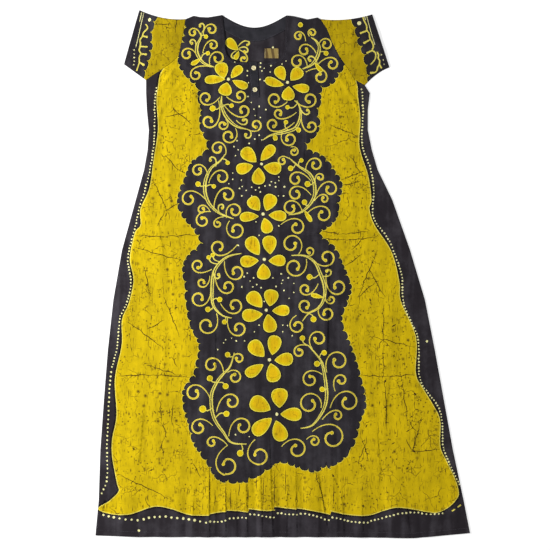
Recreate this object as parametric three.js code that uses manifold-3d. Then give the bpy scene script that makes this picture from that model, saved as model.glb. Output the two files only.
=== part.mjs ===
// A long batik house dress, laid flat with its front up: two A-line panels on each other, two short
// set-in sleeves as flattened tubes, a back neck facing, a half placket with two buttons and a neck label.
// Millimetres. +Z is up, +Y runs from the hem to the neck, and +X is to the right as the front is seen.
// The origin is on the floor, in the middle of the outline's box.
import * as THREE from "three";
import { mergeVertices } from "three/addons/utils/BufferGeometryUtils.js";
import Module from "manifold-3d";

const wasm = await Module();
wasm.setup();

// Driving dimensions
const CLOTH = 1.2; // a panel's wall, with its seam allowances
const TRIM = 1.0; // facing, placket and label
const GAP = 0.3; // between layers and at seams
const SEAM_GAP = 0.4; // along X at the slanted armholes
const NECK_LIFT = 1.3; // how far the faced front neck stands over the back
const NECK_LIFT_FADE = 45; // over which the faced neck settles down again
const NECK_MARGIN = 15; // how far round the neck and the placket the front keeps its full lift
const PLACKET_MARGIN = 7;
const NECK_CURVE_TOP = 590; // where the front neck's straight sides turn into its round bottom
const NECK_BOTTOM = 537;
const NECK_SQUARENESS = 3.5; // 2 would be an ellipse, more makes the neck's bottom flatter
const NECK_LEFT = -146;
const NECK_RIGHT = 5;
const SLIT_TOP_X = -74.5;
const SLIT_LEAN = 0.06; // the slit and its band lean to +X on the way down
const SLIT_LENGTH = 84;
const SLIT_WIDTH = 2;
const PLACKET = { width: 21, length: 90, columns: 4, rows: 6 };
const BUTTON = { radius: 5.75, height: 2.4, dish: 0.7, rim: 1.1, holeRadius: 0.9, holeSpacing: 1.6 };
const BUTTON_Y = { upper: 522, lower: 467 };
const FACING_DEPTH = 34;
const FACING_UNDERLAP = 7; // how far the facing runs on under the front's neck edge
const LABEL = { x: -28, y: 560, width: 36, height: 25 };

// Where the side seams and armholes lie, from the hem up. left and right are the panel's edges at y.
const SECTIONS = [
  { at: "hem", y: -658, left: -475.5, right: 475.5 },
  { at: "above hem", y: -574, left: -467, right: 459 },
  { at: "calf", y: -447, left: -463, right: 432 },
  { at: "knee", y: -320, left: -454, right: 409 },
  { at: "above knee", y: -193, left: -444, right: 386 },
  { at: "thigh", y: -66, left: -430, right: 361 },
  { at: "seat", y: 61, left: -408, right: 323 },
  { at: "hip", y: 188, left: -373, right: 278 },
  { at: "high hip", y: 264, left: -352, right: 241 },
  { at: "low waist", y: 315, left: -343, right: 226 },
  { at: "waist", y: 365, left: -340, right: 216 },
  { at: "ribs", y: 416, left: -345, right: 216 },
  { at: "side corner", y: 459, left: -347, right: 221 },
  { at: "right underarm", y: 479, left: -347, right: 208 },
  { at: "left underarm", y: 492, left: -347, right: 184 },
  { at: "low armhole", y: 503, left: -331, right: 177 },
  { at: "armhole bend", y: 520, left: -305, right: 166 },
  { at: "armhole turn", y: 536, left: -282, right: 155 },
  { at: "armhole", y: 553, left: -264, right: 143 },
  { at: "chest", y: 590, left: -256, right: 124 },
  { at: "high chest", y: 622, left: -250, right: 112 },
  { at: "shoulder point", y: 647, left: -246, right: 95 },
];

// Each sleeve's cuff, from its top corner to its lower one, and how far its edges bow in.
const SLEEVES = {
  sleeve_left: { side: "left", top: [-364, 669.8], low: [-403, 532], topBow: 8, lowBow: 0, underarm: 492 },
  sleeve_right: { side: "right", top: [227, 659], low: [271, 524], topBow: 7, lowBow: 6, underarm: 479 },
};

const SLEEVE_PUFF = 1.4;
const SLEEVE_PLEAT = 1.1;
// The soft pleats that run out from the cap, as shares of the way from the shoulder to the underarm.
const SLEEVE_PLEATS = [
  { at: 0.3, width: 0.1 },
  { at: 0.72, width: 0.09 },
];

// The shoulder seams' small waves and the back neckline, from left to right.
const SHOULDER_LINE = [
  { x: -246, y: 647 },
  { x: -230, y: 656 },
  { x: -212, y: 652 },
  { x: -190, y: 651 },
  { x: -153, y: 657 },
  { x: 9, y: 656 },
  { x: 28, y: 654 },
  { x: 62, y: 646 },
  { x: 88, y: 651 },
  { x: 95, y: 647 },
];
const BACK_NECK_DIP = 31; // how far the back neckline dips under the neck points
const NECK_POINTS = { left: -153, right: 9, y: 656.5 };

// The hem, a little uneven as the dress lies.
const HEM_LINE = [
  { x: -475.5, y: -664 },
  { x: -362, y: -668 },
  { x: 128, y: -668 },
  { x: 333, y: -671 },
  { x: 475.5, y: -658 },
];
const OFF_HEM = -720; // where the folds that run out over the hem start

// The largest soft folds of the front: a ridge from (x, y) that runs length long at turn degrees from +Y.
const FOLDS = [
  { at: "hem pleat 1", x: -190, y: OFF_HEM, length: 240, turn: 0, width: 34, height: 2.2 },
  { at: "hem pleat 2", x: -145, y: OFF_HEM, length: 200, turn: -2, width: 28, height: 2.0 },
  { at: "hem pleat 3", x: -92, y: OFF_HEM, length: 280, turn: 2, width: 36, height: 2.5 },
  { at: "main pleat", x: -36, y: OFF_HEM, length: 380, turn: 3, width: 40, height: 3.4 },
  { at: "hem pleat 5", x: 24, y: OFF_HEM, length: 290, turn: 0, width: 36, height: 2.3 },
  { at: "leaning pleat", x: 98, y: OFF_HEM, length: 260, turn: 9, width: 38, height: 3.0 },
  { at: "long centre crease", x: 128, y: OFF_HEM, length: 610, turn: 1, width: 34, height: 2.6 },
  { at: "hem wave 8", x: 196, y: OFF_HEM, length: 220, turn: -3, width: 48, height: 1.8 },
  { at: "hem wave 9", x: 296, y: OFF_HEM, length: 290, turn: 4, width: 60, height: 2.0 },
  { at: "hem wave 10", x: 390, y: OFF_HEM, length: 230, turn: 10, width: 52, height: 1.6 },
  { at: "hem wave 11", x: -292, y: OFF_HEM, length: 230, turn: -4, width: 56, height: 1.6 },
  { at: "hem wave 12", x: -392, y: OFF_HEM, length: 260, turn: -5, width: 60, height: 1.5 },
  { at: "left package crease", x: -160, y: -230, length: 230, turn: 0, width: 34, height: 1.6 },
  { at: "right package crease", x: 118, y: -60, length: 330, turn: -3, width: 38, height: 1.5 },
  { at: "upper cross crease", x: -420, y: 104, length: 760, turn: -90, width: 44, height: 1.6 },
  { at: "lower cross crease", x: -455, y: -258, length: 850, turn: -90, width: 44, height: 1.4 },
  { at: "left bust drag", x: -325, y: 470, length: 120, turn: -52, width: 30, height: 1.8 },
  { at: "right bust drag", x: 196, y: 455, length: 110, turn: 50, width: 30, height: 1.6 },
  { at: "left hip drape", x: -380, y: 70, length: 220, turn: -22, width: 54, height: 1.5 },
  { at: "right hip drape", x: 300, y: -20, length: 240, turn: 20, width: 54, height: 1.5 },
];

const clamp = (v) => Math.min(1, Math.max(0, v));
const smooth = (v) => clamp(v) ** 2 * (3 - 2 * clamp(v));
const lerp = THREE.MathUtils.lerp;

// The value of column at y (or x) in a table sorted by key, straight between its rows.
function along(table, key, value, column) {
  const above = table.findIndex((row) => row[key] >= value);
  if (above === 0) return table[0][column];
  if (above < 0) return table[table.length - 1][column];
  const [a, b] = [table[above - 1], table[above]];
  return lerp(a[column], b[column], (value - a[key]) / (b[key] - a[key]));
}
const edgeAt = (side, y) => along(SECTIONS, "y", y, side);
const shoulderY = (x) => along(SHOULDER_LINE, "x", x, "y");
const hemY = (x) => along(HEM_LINE, "x", x, "y");
const slitX = (y) => SLIT_TOP_X + SLIT_LEAN * (NECK_BOTTOM - y);

function backNeckY(x) {
  const mid = (NECK_POINTS.left + NECK_POINTS.right) / 2;
  const half = (NECK_POINTS.right - NECK_POINTS.left) / 2;
  return NECK_POINTS.y - BACK_NECK_DIP * Math.cos((clamp(Math.abs(x - mid) / half) * Math.PI) / 2);
}

function frontNeckY(x) {
  const mid = (NECK_LEFT + NECK_RIGHT) / 2;
  const half = (NECK_RIGHT - NECK_LEFT) / 2;
  const round = Math.max(0, 1 - Math.abs((x - mid) / half) ** NECK_SQUARENESS) ** (1 / NECK_SQUARENESS);
  return NECK_CURVE_TOP - (NECK_CURVE_TOP - NECK_BOTTOM) * round;
}

// One soft ridge: bell-shaped across, level along, fading in its last third.
function ridge(fold, x, y) {
  const turn = THREE.MathUtils.degToRad(fold.turn);
  const [dx, dy] = [x - fold.x, y - fold.y];
  const run = -dx * Math.sin(turn) + dy * Math.cos(turn);
  const across = dx * Math.cos(turn) + dy * Math.sin(turn);
  const ends = smooth((run + 12) / 24) * smooth((fold.length - run) / (fold.length / 3));
  return fold.height * Math.exp(-((across / (fold.width / 2)) ** 2)) * ends;
}

// 1 over the faced neck and placket, 0 past NECK_LIFT_FADE from them.
function facedNeck(x, y) {
  const dx = Math.max(NECK_LEFT - NECK_MARGIN - x, x - NECK_RIGHT - NECK_MARGIN, 0);
  const dyNeck = Math.max(NECK_BOTTOM - NECK_MARGIN - y, 0);
  const dxSlit = Math.max(Math.abs(x - slitX(y)) - PLACKET.width / 2 - PLACKET_MARGIN, 0);
  const dySlit = Math.max(NECK_BOTTOM - PLACKET.length - PLACKET_MARGIN - y, 0);
  const away = Math.min(Math.hypot(dx, dyNeck), Math.hypot(dxSlit, dySlit));
  return 1 - smooth(away / NECK_LIFT_FADE);
}

// How far the front's upper face lies above the floor.
function frontTop(x, y) {
  const faced = facedNeck(x, y);
  const folds = Math.max(0, ...FOLDS.map((fold) => ridge(fold, x, y)));
  const edge = Math.min(x - edgeAt("left", y), edgeAt("right", y) - x);
  const settled = smooth(edge / 40);
  return 2 * CLOTH + GAP + NECK_LIFT * faced + folds * (1 - faced) * settled;
}

// A closed wall under an upper face of points and triangles, thick downwards.
function clothWall(points, faces, thickness) {
  const top = new THREE.BufferGeometry().setFromPoints(points);
  top.setIndex(faces.flat());
  const merged = mergeVertices(top, 1e-3);
  const at = merged.getAttribute("position");
  const count = at.count;
  const positions = [...at.array];
  for (let i = 0; i < count; i++) positions.push(at.getX(i), at.getY(i), at.getZ(i) - thickness);
  const index = [];
  const edges = new Map();
  const source = merged.index.array;
  for (let i = 0; i < source.length; i += 3) {
    const face = [source[i], source[i + 1], source[i + 2]];
    if (new Set(face).size < 3) continue;
    index.push(...face, face[0] + count, face[2] + count, face[1] + count);
    face.forEach((a, k) => {
      const b = face[(k + 1) % 3];
      if (!edges.delete(`${b},${a}`)) edges.set(`${a},${b}`, [a, b]);
    });
  }
  for (const [a, b] of edges.values()) index.push(a, a + count, b, b, a + count, b + count);
  const geometry = new THREE.BufferGeometry();
  geometry.setAttribute("position", new THREE.Float32BufferAttribute(positions, 3));
  geometry.setIndex(index);
  geometry.computeVertexNormals();
  return geometry;
}

// The points and triangles of a grid, with the cells that keep says.
function gridFace(columns, rows, point, keep = () => true) {
  const points = [];
  const faces = [];
  for (let j = 0; j <= rows; j++) for (let i = 0; i <= columns; i++) points.push(point(i, j));
  for (let j = 0; j < rows; j++)
    for (let i = 0; i < columns; i++) {
      if (!keep(i, j)) continue;
      const a = j * (columns + 1) + i;
      const [b, c, d] = [a + 1, a + columns + 2, a + columns + 1];
      faces.push(...((i + j) % 2 ? [[a, b, c], [a, c, d]] : [[a, b, d], [b, c, d]]));
    }
  return { points, faces };
}

// The y of each row: the sections' and cross creases' own, with about step between them.
function rowLevels(step, from, to) {
  const crossed = FOLDS.filter((fold) => fold.turn === -90);
  const own = [...SECTIONS, ...crossed].map((row) => row.y).sort((a, b) => a - b);
  const stops = own.filter((y) => y > from && y < to);
  const levels = [];
  [from, ...stops, to].forEach((y, k, all) => {
    if (k === all.length - 1) return levels.push(y);
    const parts = Math.max(1, Math.round((all[k + 1] - y) / step));
    for (let n = 0; n < parts; n++) levels.push(lerp(y, all[k + 1], n / parts));
  });
  return levels;
}

// Shares of the hem's width: one line on each fold that runs out over it, the widest gaps then halved.
function hemShares(count) {
  const [l, r] = [SECTIONS[0].left, SECTIONS[0].right];
  const crests = FOLDS.filter((fold) => fold.y === OFF_HEM).map((fold) => fold.x);
  const lines = [l, ...crests, r].sort((a, b) => a - b);
  while (lines.length < count) {
    const gaps = lines.slice(1).map((x, k) => x - lines[k]);
    const k = gaps.indexOf(Math.max(...gaps));
    lines.splice(k + 1, 0, lines[k] + gaps[k] / 2);
  }
  return lines.map((x) => (x - l) / (r - l));
}

// The front: columns on the hem's folds fan up to the neck, and rows bend up round it and the slit.
function frontPanel() {
  const columns = { left: 9, middle: 7, right: 9 };
  const slitAt = columns.left + columns.middle;
  const rightFrom = slitAt + 1 + columns.middle;
  const total = rightFrom + columns.right;
  const lower = rowLevels(33, SECTIONS[0].y, NECK_CURVE_TOP);
  const upper = rowLevels(33, NECK_CURVE_TOP, SECTIONS.at(-1).y).slice(1);
  const shares = hemShares(total);
  const bendFrom = 300; // the rows' bend up to the neck starts here
  const fanTo = 250; // and the columns' fan from the hem ends here
  const neckFrom = 440; // from here up the columns beside the neck run straight
  const [chestL, chestR] = [edgeAt("left", NECK_CURVE_TOP), edgeAt("right", NECK_CURVE_TOP)];
  const neckShare = (x) => (x - chestL) / (chestR - chestL);
  const eased = (v) => Math.sin((v * Math.PI) / 2);
  const slitHalf = (y) => (SLIT_WIDTH / 2) * clamp((y - NECK_BOTTOM + SLIT_LENGTH) / SLIT_LENGTH);

  // Column i's x in the row that starts at y at the sides and lies at middleY in the middle.
  const columnX = (i, y, middleY) => {
    const [l, r] = [edgeAt("left", y), edgeAt("right", y)];
    const up = clamp((y - NECK_CURVE_TOP) / (SECTIONS.at(-1).y - NECK_CURVE_TOP));
    const fit = smooth((y - fanTo) / (neckFrom - fanTo));
    const neckL = lerp(lerp(l, r, neckShare(NECK_LEFT)), lerp(NECK_LEFT, NECK_POINTS.left, up), fit);
    const neckR = lerp(lerp(l, r, neckShare(NECK_RIGHT)), lerp(NECK_RIGHT, NECK_POINTS.right, up), fit);
    const slit = slitX(Math.min(middleY, NECK_BOTTOM));
    const gap = slitHalf(middleY);
    const hemX = lerp(l, r, shares[i > slitAt ? i - 1 : i]);
    let x = lerp(neckR, r, (i - rightFrom) / columns.right);
    if (i <= columns.left) x = lerp(l, neckL, i / columns.left);
    else if (i <= slitAt) x = lerp(slit - gap, neckL, eased((slitAt - i) / columns.middle));
    else if (i <= rightFrom) x = lerp(slit + gap, neckR, eased((i - slitAt - 1) / columns.middle));
    return lerp(hemX, x, smooth((y - SECTIONS[0].y) / (fanTo - SECTIONS[0].y)));
  };

  const point = (i, j) => {
    const isMiddle = i > columns.left && i < rightFrom;
    if (j >= lower.length) {
      const level = upper[j - lower.length];
      const up = (level - NECK_CURVE_TOP) / (SECTIONS.at(-1).y - NECK_CURVE_TOP);
      const top = shoulderY(columnX(i, SECTIONS.at(-1).y, NECK_BOTTOM));
      return new THREE.Vector3(columnX(i, level, NECK_BOTTOM), lerp(NECK_CURVE_TOP, top, up), 0);
    }
    const y = lower[j];
    const x = columnX(i, y, y);
    if (j === 0) return new THREE.Vector3(x, hemY(x), 0);
    if (!isMiddle || y <= bendFrom) return new THREE.Vector3(x, y, 0);
    const bent = lerp(bendFrom, frontNeckY(x), (y - bendFrom) / (NECK_CURVE_TOP - bendFrom));
    return new THREE.Vector3(columnX(i, y, bent), bent, 0);
  };
  const keep = (i, j) => {
    const underNeck = i >= columns.left && i < rightFrom;
    return i !== slitAt && !(underNeck && j >= lower.length - 1);
  };
  const face = gridFace(total, lower.length - 1 + upper.length, point, keep);
  face.points.forEach((p) => (p.z = frontTop(p.x, p.y)));
  return clothWall(face.points, face.faces, CLOTH);
}

// The back lies flat under the front, and shows only inside the neck.
function backPanel() {
  const columns = 16;
  const neckAt = { from: 4, to: 12 };
  const fitFrom = 300; // the even columns close up to the neck's own from here
  const levels = rowLevels(64, SECTIONS[0].y, NECK_CURVE_TOP);
  const upper = rowLevels(33, NECK_CURVE_TOP, SECTIONS.at(-1).y).slice(1);
  const topY = (x) => (x > NECK_POINTS.left && x < NECK_POINTS.right ? backNeckY(x) : shoulderY(x));
  const columnX = (i, y) => {
    const [l, r] = [edgeAt("left", y), edgeAt("right", y)];
    const { from, to } = neckAt;
    let fitted = lerp(NECK_POINTS.left, NECK_POINTS.right, (i - from) / (to - from));
    if (i < from) fitted = lerp(l, NECK_POINTS.left, i / from);
    if (i > to) fitted = lerp(NECK_POINTS.right, r, (i - to) / (columns - to));
    return lerp(lerp(l, r, i / columns), fitted, smooth((y - fitFrom) / (NECK_CURVE_TOP - fitFrom)));
  };
  const point = (i, j) => {
    const y = j < levels.length ? levels[j] : upper[j - levels.length];
    const x = columnX(i, y);
    if (j === 0) return new THREE.Vector3(x, hemY(x), CLOTH);
    if (j < levels.length) return new THREE.Vector3(x, y, CLOTH);
    const up = (y - NECK_CURVE_TOP) / (SECTIONS.at(-1).y - NECK_CURVE_TOP);
    const top = topY(columnX(i, SECTIONS.at(-1).y));
    return new THREE.Vector3(x, lerp(NECK_CURVE_TOP, top, up), CLOTH);
  };
  const face = gridFace(columns, levels.length - 1 + upper.length, point);
  return clothWall(face.points, face.faces, CLOTH);
}

// A sleeve as a flattened tube: rings from the armhole to the cuff, each with an outer and an inner line.
function sleeve({ side, top, low, topBow, lowBow, underarm }) {
  const outward = side === "left" ? -1 : 1;
  const rings = 8;
  const seam = SECTIONS.filter((row) => row.y >= underarm)
    .map((row) => new THREE.Vector2(row[side] + outward * SEAM_GAP, row.y))
    .reverse();
  const lengths = seam.map((p, k) => (k ? p.distanceTo(seam[k - 1]) : 0));
  const total = lengths.reduce((a, b) => a + b, 0);
  let run = 0;
  const shares = lengths.map((part) => (run += part) / total);
  const flat = (s, t) => {
    const k = shares.indexOf(s);
    const x = lerp(seam[k].x, lerp(top[0], low[0], s), t);
    const y = lerp(seam[k].y, lerp(top[1], low[1], s), t);
    const bow = 4 * t * (1 - t) * (lowBow * s - topBow * (1 - s));
    return new THREE.Vector2(x, y + bow);
  };
  // How full the tube lies: pressed flat at the seams, a little open at the cuff, with two cap pleats.
  const fullness = (s, t) => {
    const pleats = SLEEVE_PLEATS.map((pleat) => Math.exp(-(((s - pleat.at) / pleat.width) ** 2)));
    const pleated = SLEEVE_PLEAT * (pleats[0] + pleats[1]) * (1 - t / 2);
    return 2 * CLOTH + GAP + smooth(t / 0.4) * Math.sin(Math.PI * s) * (SLEEVE_PUFF + pleated);
  };
  const ring = (t, inset) => {
    const [a, b] = [flat(shares[0], t), flat(shares.at(-1), t)];
    const dir = b.clone().sub(a).normalize();
    const low3 = (p, z) => new THREE.Vector3(p.x, p.y, z);
    const upper = shares.map((s, k) => {
      const p = flat(s, t);
      if (k === 0) p.addScaledVector(dir, inset);
      if (k === shares.length - 1) p.addScaledVector(dir, -inset);
      return { p, z: fullness(s, t) - inset };
    });
    const mid = (2 * CLOTH + GAP) / 2;
    return [
      low3(a.clone().addScaledVector(dir, inset - CLOTH), mid),
      ...upper.map(({ p, z }) => low3(p, z)),
      low3(b.clone().addScaledVector(dir, CLOTH - inset), mid),
      ...upper.map(({ p }) => low3(p, inset)).reverse(),
    ];
  };
  const stations = Array.from({ length: rings + 1 }, (_, k) => k / rings);
  const outer = stations.map((t) => ring(t, 0));
  const inner = stations.map((t) => ring(t, CLOTH));
  return tubeWall(outer, inner, outward < 0);
}

// The closed wall between two stacks of rings with the same number of points.
function tubeWall(outer, inner, mirrored) {
  const n = outer[0].length;
  const rows = outer.length;
  const points = [...outer.flat(), ...inner.flat()];
  const at = (layer, j, i) => layer * rows * n + j * n + (i % n);
  const index = [];
  const quad = (a, b, c, d) => index.push(...(mirrored ? [a, b, c, a, c, d] : [a, c, b, a, d, c]));
  for (let i = 0; i < n; i++) {
    for (let j = 0; j < rows - 1; j++) {
      quad(at(0, j, i), at(0, j + 1, i), at(0, j + 1, i + 1), at(0, j, i + 1));
      quad(at(1, j, i), at(1, j, i + 1), at(1, j + 1, i + 1), at(1, j + 1, i));
    }
    quad(at(0, 0, i), at(0, 0, i + 1), at(1, 0, i + 1), at(1, 0, i));
    quad(at(0, rows - 1, i), at(1, rows - 1, i), at(1, rows - 1, i + 1), at(0, rows - 1, i + 1));
  }
  const geometry = new THREE.BufferGeometry().setFromPoints(points);
  geometry.setIndex(index);
  geometry.computeVertexNormals();
  return geometry;
}

// The facing follows the back neckline and runs on a little under the front's neck edge.
function backNeckFacing() {
  const [left, right] = [NECK_POINTS.left - FACING_UNDERLAP, NECK_POINTS.right + FACING_UNDERLAP];
  const columns = 16;
  const rows = 2;
  const edgeIn = 1.5;
  const point = (i, j) => {
    const x = lerp(left, right, i / columns);
    const top = Math.min(backNeckY(x), shoulderY(x)) - edgeIn;
    return new THREE.Vector3(x, top - (j ? (rows - j) / rows : 1) * FACING_DEPTH, CLOTH + GAP + TRIM);
  };
  const face = gridFace(columns, rows, point);
  return clothWall(face.points, face.faces, TRIM);
}

// The placket band covers the slit, from just below the neck edge.
function placketBand() {
  const { width, length, columns, rows } = PLACKET;
  const point = (i, j) => {
    const down = length * (1 - j / rows);
    const x = slitX(NECK_BOTTOM - down) + width * (i / columns - 0.5);
    const y = frontNeckY(x) + 1 - down;
    return new THREE.Vector3(x, y, frontTop(x, y) + GAP + TRIM);
  };
  const face = gridFace(columns, rows, point);
  return clothWall(face.points, face.faces, TRIM);
}

function neckLabel() {
  const { x, y, width, height } = LABEL;
  const top = CLOTH + GAP + TRIM;
  const point = (i, j) => new THREE.Vector3(x + width * (i - 0.5), y + height * (j - 0.5), top);
  const face = gridFace(1, 1, point);
  return clothWall(face.points, face.faces, TRIM);
}

function solidFrom(geometry) {
  const bare = geometry.clone();
  bare.deleteAttribute("normal");
  bare.deleteAttribute("uv");
  const merged = mergeVertices(bare, 1e-4);
  return new wasm.Manifold(
    new wasm.Mesh({
      numProp: 3,
      vertProperties: merged.getAttribute("position").array,
      triVerts: new Uint32Array(merged.index.array),
    }),
  );
}

function geometryFrom(solid) {
  const mesh = solid.getMesh();
  const geometry = new THREE.BufferGeometry();
  geometry.setAttribute("position", new THREE.BufferAttribute(mesh.vertProperties, 3));
  geometry.setIndex(new THREE.BufferAttribute(mesh.triVerts, 1));
  geometry.computeVertexNormals();
  return geometry;
}

// A turned shirt button with a raised rim and four sewing holes.
function button() {
  const { radius, height, dish, rim, holeRadius, holeSpacing } = BUTTON;
  const profile = [
    [0, 0],
    [radius - 0.8, 0],
    [radius, 0.8],
    [radius, height - 0.5],
    [radius - 0.5, height],
    [radius - rim, height],
    [radius - rim - 0.9, height - dish],
    [0, height - dish],
  ].map(([r, z]) => new THREE.Vector2(r, z));
  const disc = new THREE.LatheGeometry(profile, 20).rotateX(Math.PI / 2);
  let solid = solidFrom(disc);
  for (const [sx, sy] of [[-1, -1], [-1, 1], [1, -1], [1, 1]]) {
    const drill = new THREE.CylinderGeometry(holeRadius, holeRadius, 3 * height, 8).rotateX(Math.PI / 2);
    drill.translate(sx * holeSpacing, sy * holeSpacing, height / 2);
    solid = solid.subtract(solidFrom(drill));
  }
  return geometryFrom(solid);
}

const mustard = new THREE.MeshStandardMaterial({ color: 0xd3ba12, roughness: 0.9, metalness: 0 });
const inkCloth = new THREE.MeshStandardMaterial({ color: 0x2b2738, roughness: 0.9, metalness: 0 });
const shell = new THREE.MeshStandardMaterial({ color: 0xe9dfb8, roughness: 0.35, metalness: 0 });
const woven = new THREE.MeshStandardMaterial({ color: 0xa58b45, roughness: 0.8, metalness: 0 });

const dress = new THREE.Group();
function place(name, geometry, material, position = [0, 0, 0]) {
  const mesh = new THREE.Mesh(geometry, material);
  mesh.name = name;
  mesh.position.set(...position);
  dress.add(mesh);
}

place("back_panel", backPanel(), mustard);
place("front_panel", frontPanel(), mustard);
for (const [name, shape] of Object.entries(SLEEVES)) place(name, sleeve(shape), mustard);
place("back_neck_facing", backNeckFacing(), inkCloth);
place("neck_label", neckLabel(), woven);
place("placket_band", placketBand(), inkCloth);
for (const [name, y] of Object.entries(BUTTON_Y)) {
  place(`button_${name}`, button(), shell, [slitX(y), y, frontTop(slitX(y), y) + 2 * GAP + TRIM]);
}

export default dress;
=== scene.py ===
# A long batik house dress, laid flat with its front up. Tables are in millimetres, meshes in metres.
# The wax print is cut into the cloth's own faces, so each shape keeps a clean edge.
import math
import random

import bpy
import numpy as np
from mathutils import Matrix, Vector, kdtree, noise
from mathutils.geometry import delaunay_2d_cdt


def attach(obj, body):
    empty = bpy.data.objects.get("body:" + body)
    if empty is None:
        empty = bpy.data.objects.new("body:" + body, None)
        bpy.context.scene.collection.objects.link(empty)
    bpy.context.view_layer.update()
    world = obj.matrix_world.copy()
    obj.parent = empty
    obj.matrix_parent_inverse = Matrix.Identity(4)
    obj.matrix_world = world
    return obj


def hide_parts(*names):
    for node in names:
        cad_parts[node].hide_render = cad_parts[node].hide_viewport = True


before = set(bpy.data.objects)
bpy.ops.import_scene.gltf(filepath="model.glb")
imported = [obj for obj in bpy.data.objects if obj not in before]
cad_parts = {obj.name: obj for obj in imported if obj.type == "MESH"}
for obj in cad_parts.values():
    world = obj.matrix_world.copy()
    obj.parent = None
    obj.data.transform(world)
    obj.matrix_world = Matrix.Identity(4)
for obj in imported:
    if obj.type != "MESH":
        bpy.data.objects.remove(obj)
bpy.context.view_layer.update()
bpy.ops.object.select_all(action="DESELECT")
mm = 0.001

# The camera looks straight down from over the middle of the photo's frame.
view = dict(centre=(-0.0197, -0.0028), lens=85, frameWidth=1.397, sensor=36)


def setCamera():
    data = bpy.data.cameras.new("overheadCamera")
    data.lens = view["lens"]
    data.sensor_width = view["sensor"]
    camera = bpy.data.objects.new("overheadCamera", data)
    camera.location = (*view["centre"], view["frameWidth"] * view["lens"] / view["sensor"])
    bpy.context.collection.objects.link(camera)
    bpy.context.scene.camera = camera


setCamera()
print("camera set")

# The cut, as in the solids. sections: y, left edge, right edge, from the hem to the shoulder point.
cut = dict(
    sections=[
        (-658, -475.5, 475.5), (-574, -467, 459), (-447, -463, 432), (-320, -454, 409), (-193, -444, 386),
        (-66, -430, 361), (61, -408, 323), (188, -373, 278), (264, -352, 241), (315, -343, 226),
        (365, -340, 216), (416, -345, 216), (459, -347, 221), (479, -347, 208), (492, -347, 184),
        (503, -331, 177), (520, -305, 166), (536, -282, 155), (553, -264, 143), (590, -256, 124),
        (622, -250, 112), (647, -246, 95),
    ],
    shoulder=[(-246, 647), (-230, 656), (-212, 652), (-190, 651), (-153, 657), (9, 656), (28, 654),
              (62, 646), (88, 651), (95, 647)],
    hem=[(-475.5, -664), (-362, -668), (128, -668), (333, -671), (475.5, -658)],
    neckLeft=-146, neckRight=5, neckTurn=590, neckBottom=537, neckSquareness=3.5,
    neckPointLeft=-153, neckPointRight=9, neckPointY=656.5, backDip=31,
    slitTop=-74.5, slitLean=0.06, slitLength=84, slitWidth=2,
    cloth=1.2, trim=1.0, gap=0.3, lift=1.3, liftFade=45, neckMargin=15, placketMargin=7,
    facingDepth=34, facingUnder=7,
)
placket = dict(width=21, length=90)

# The largest folds, as in the solids: x, y, length, turn from +Y, width, height. Those from offHem start
# below the hem, so they run out over its edge.
offHem = -720
folds = [
    (-190, offHem, 240, 0, 34, 2.2), (-145, offHem, 200, -2, 28, 2.0), (-92, offHem, 280, 2, 36, 2.5),
    (-36, offHem, 380, 3, 40, 3.4), (24, offHem, 290, 0, 36, 2.3), (98, offHem, 260, 9, 38, 3.0),
    (128, offHem, 610, 1, 34, 2.6), (196, offHem, 220, -3, 48, 1.8), (296, offHem, 290, 4, 60, 2.0),
    (390, offHem, 230, 10, 52, 1.6), (-292, offHem, 230, -4, 56, 1.6), (-392, offHem, 260, -5, 60, 1.5),
    (-160, -230, 230, 0, 34, 1.6), (118, -60, 330, -3, 38, 1.5), (-420, 104, 760, -90, 44, 1.6),
    (-455, -258, 850, -90, 44, 1.4), (-325, 470, 120, -52, 30, 1.8), (196, 455, 110, 50, 30, 1.6),
    (-380, 70, 220, -22, 54, 1.5), (300, -20, 240, 20, 54, 1.5),
]

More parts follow.
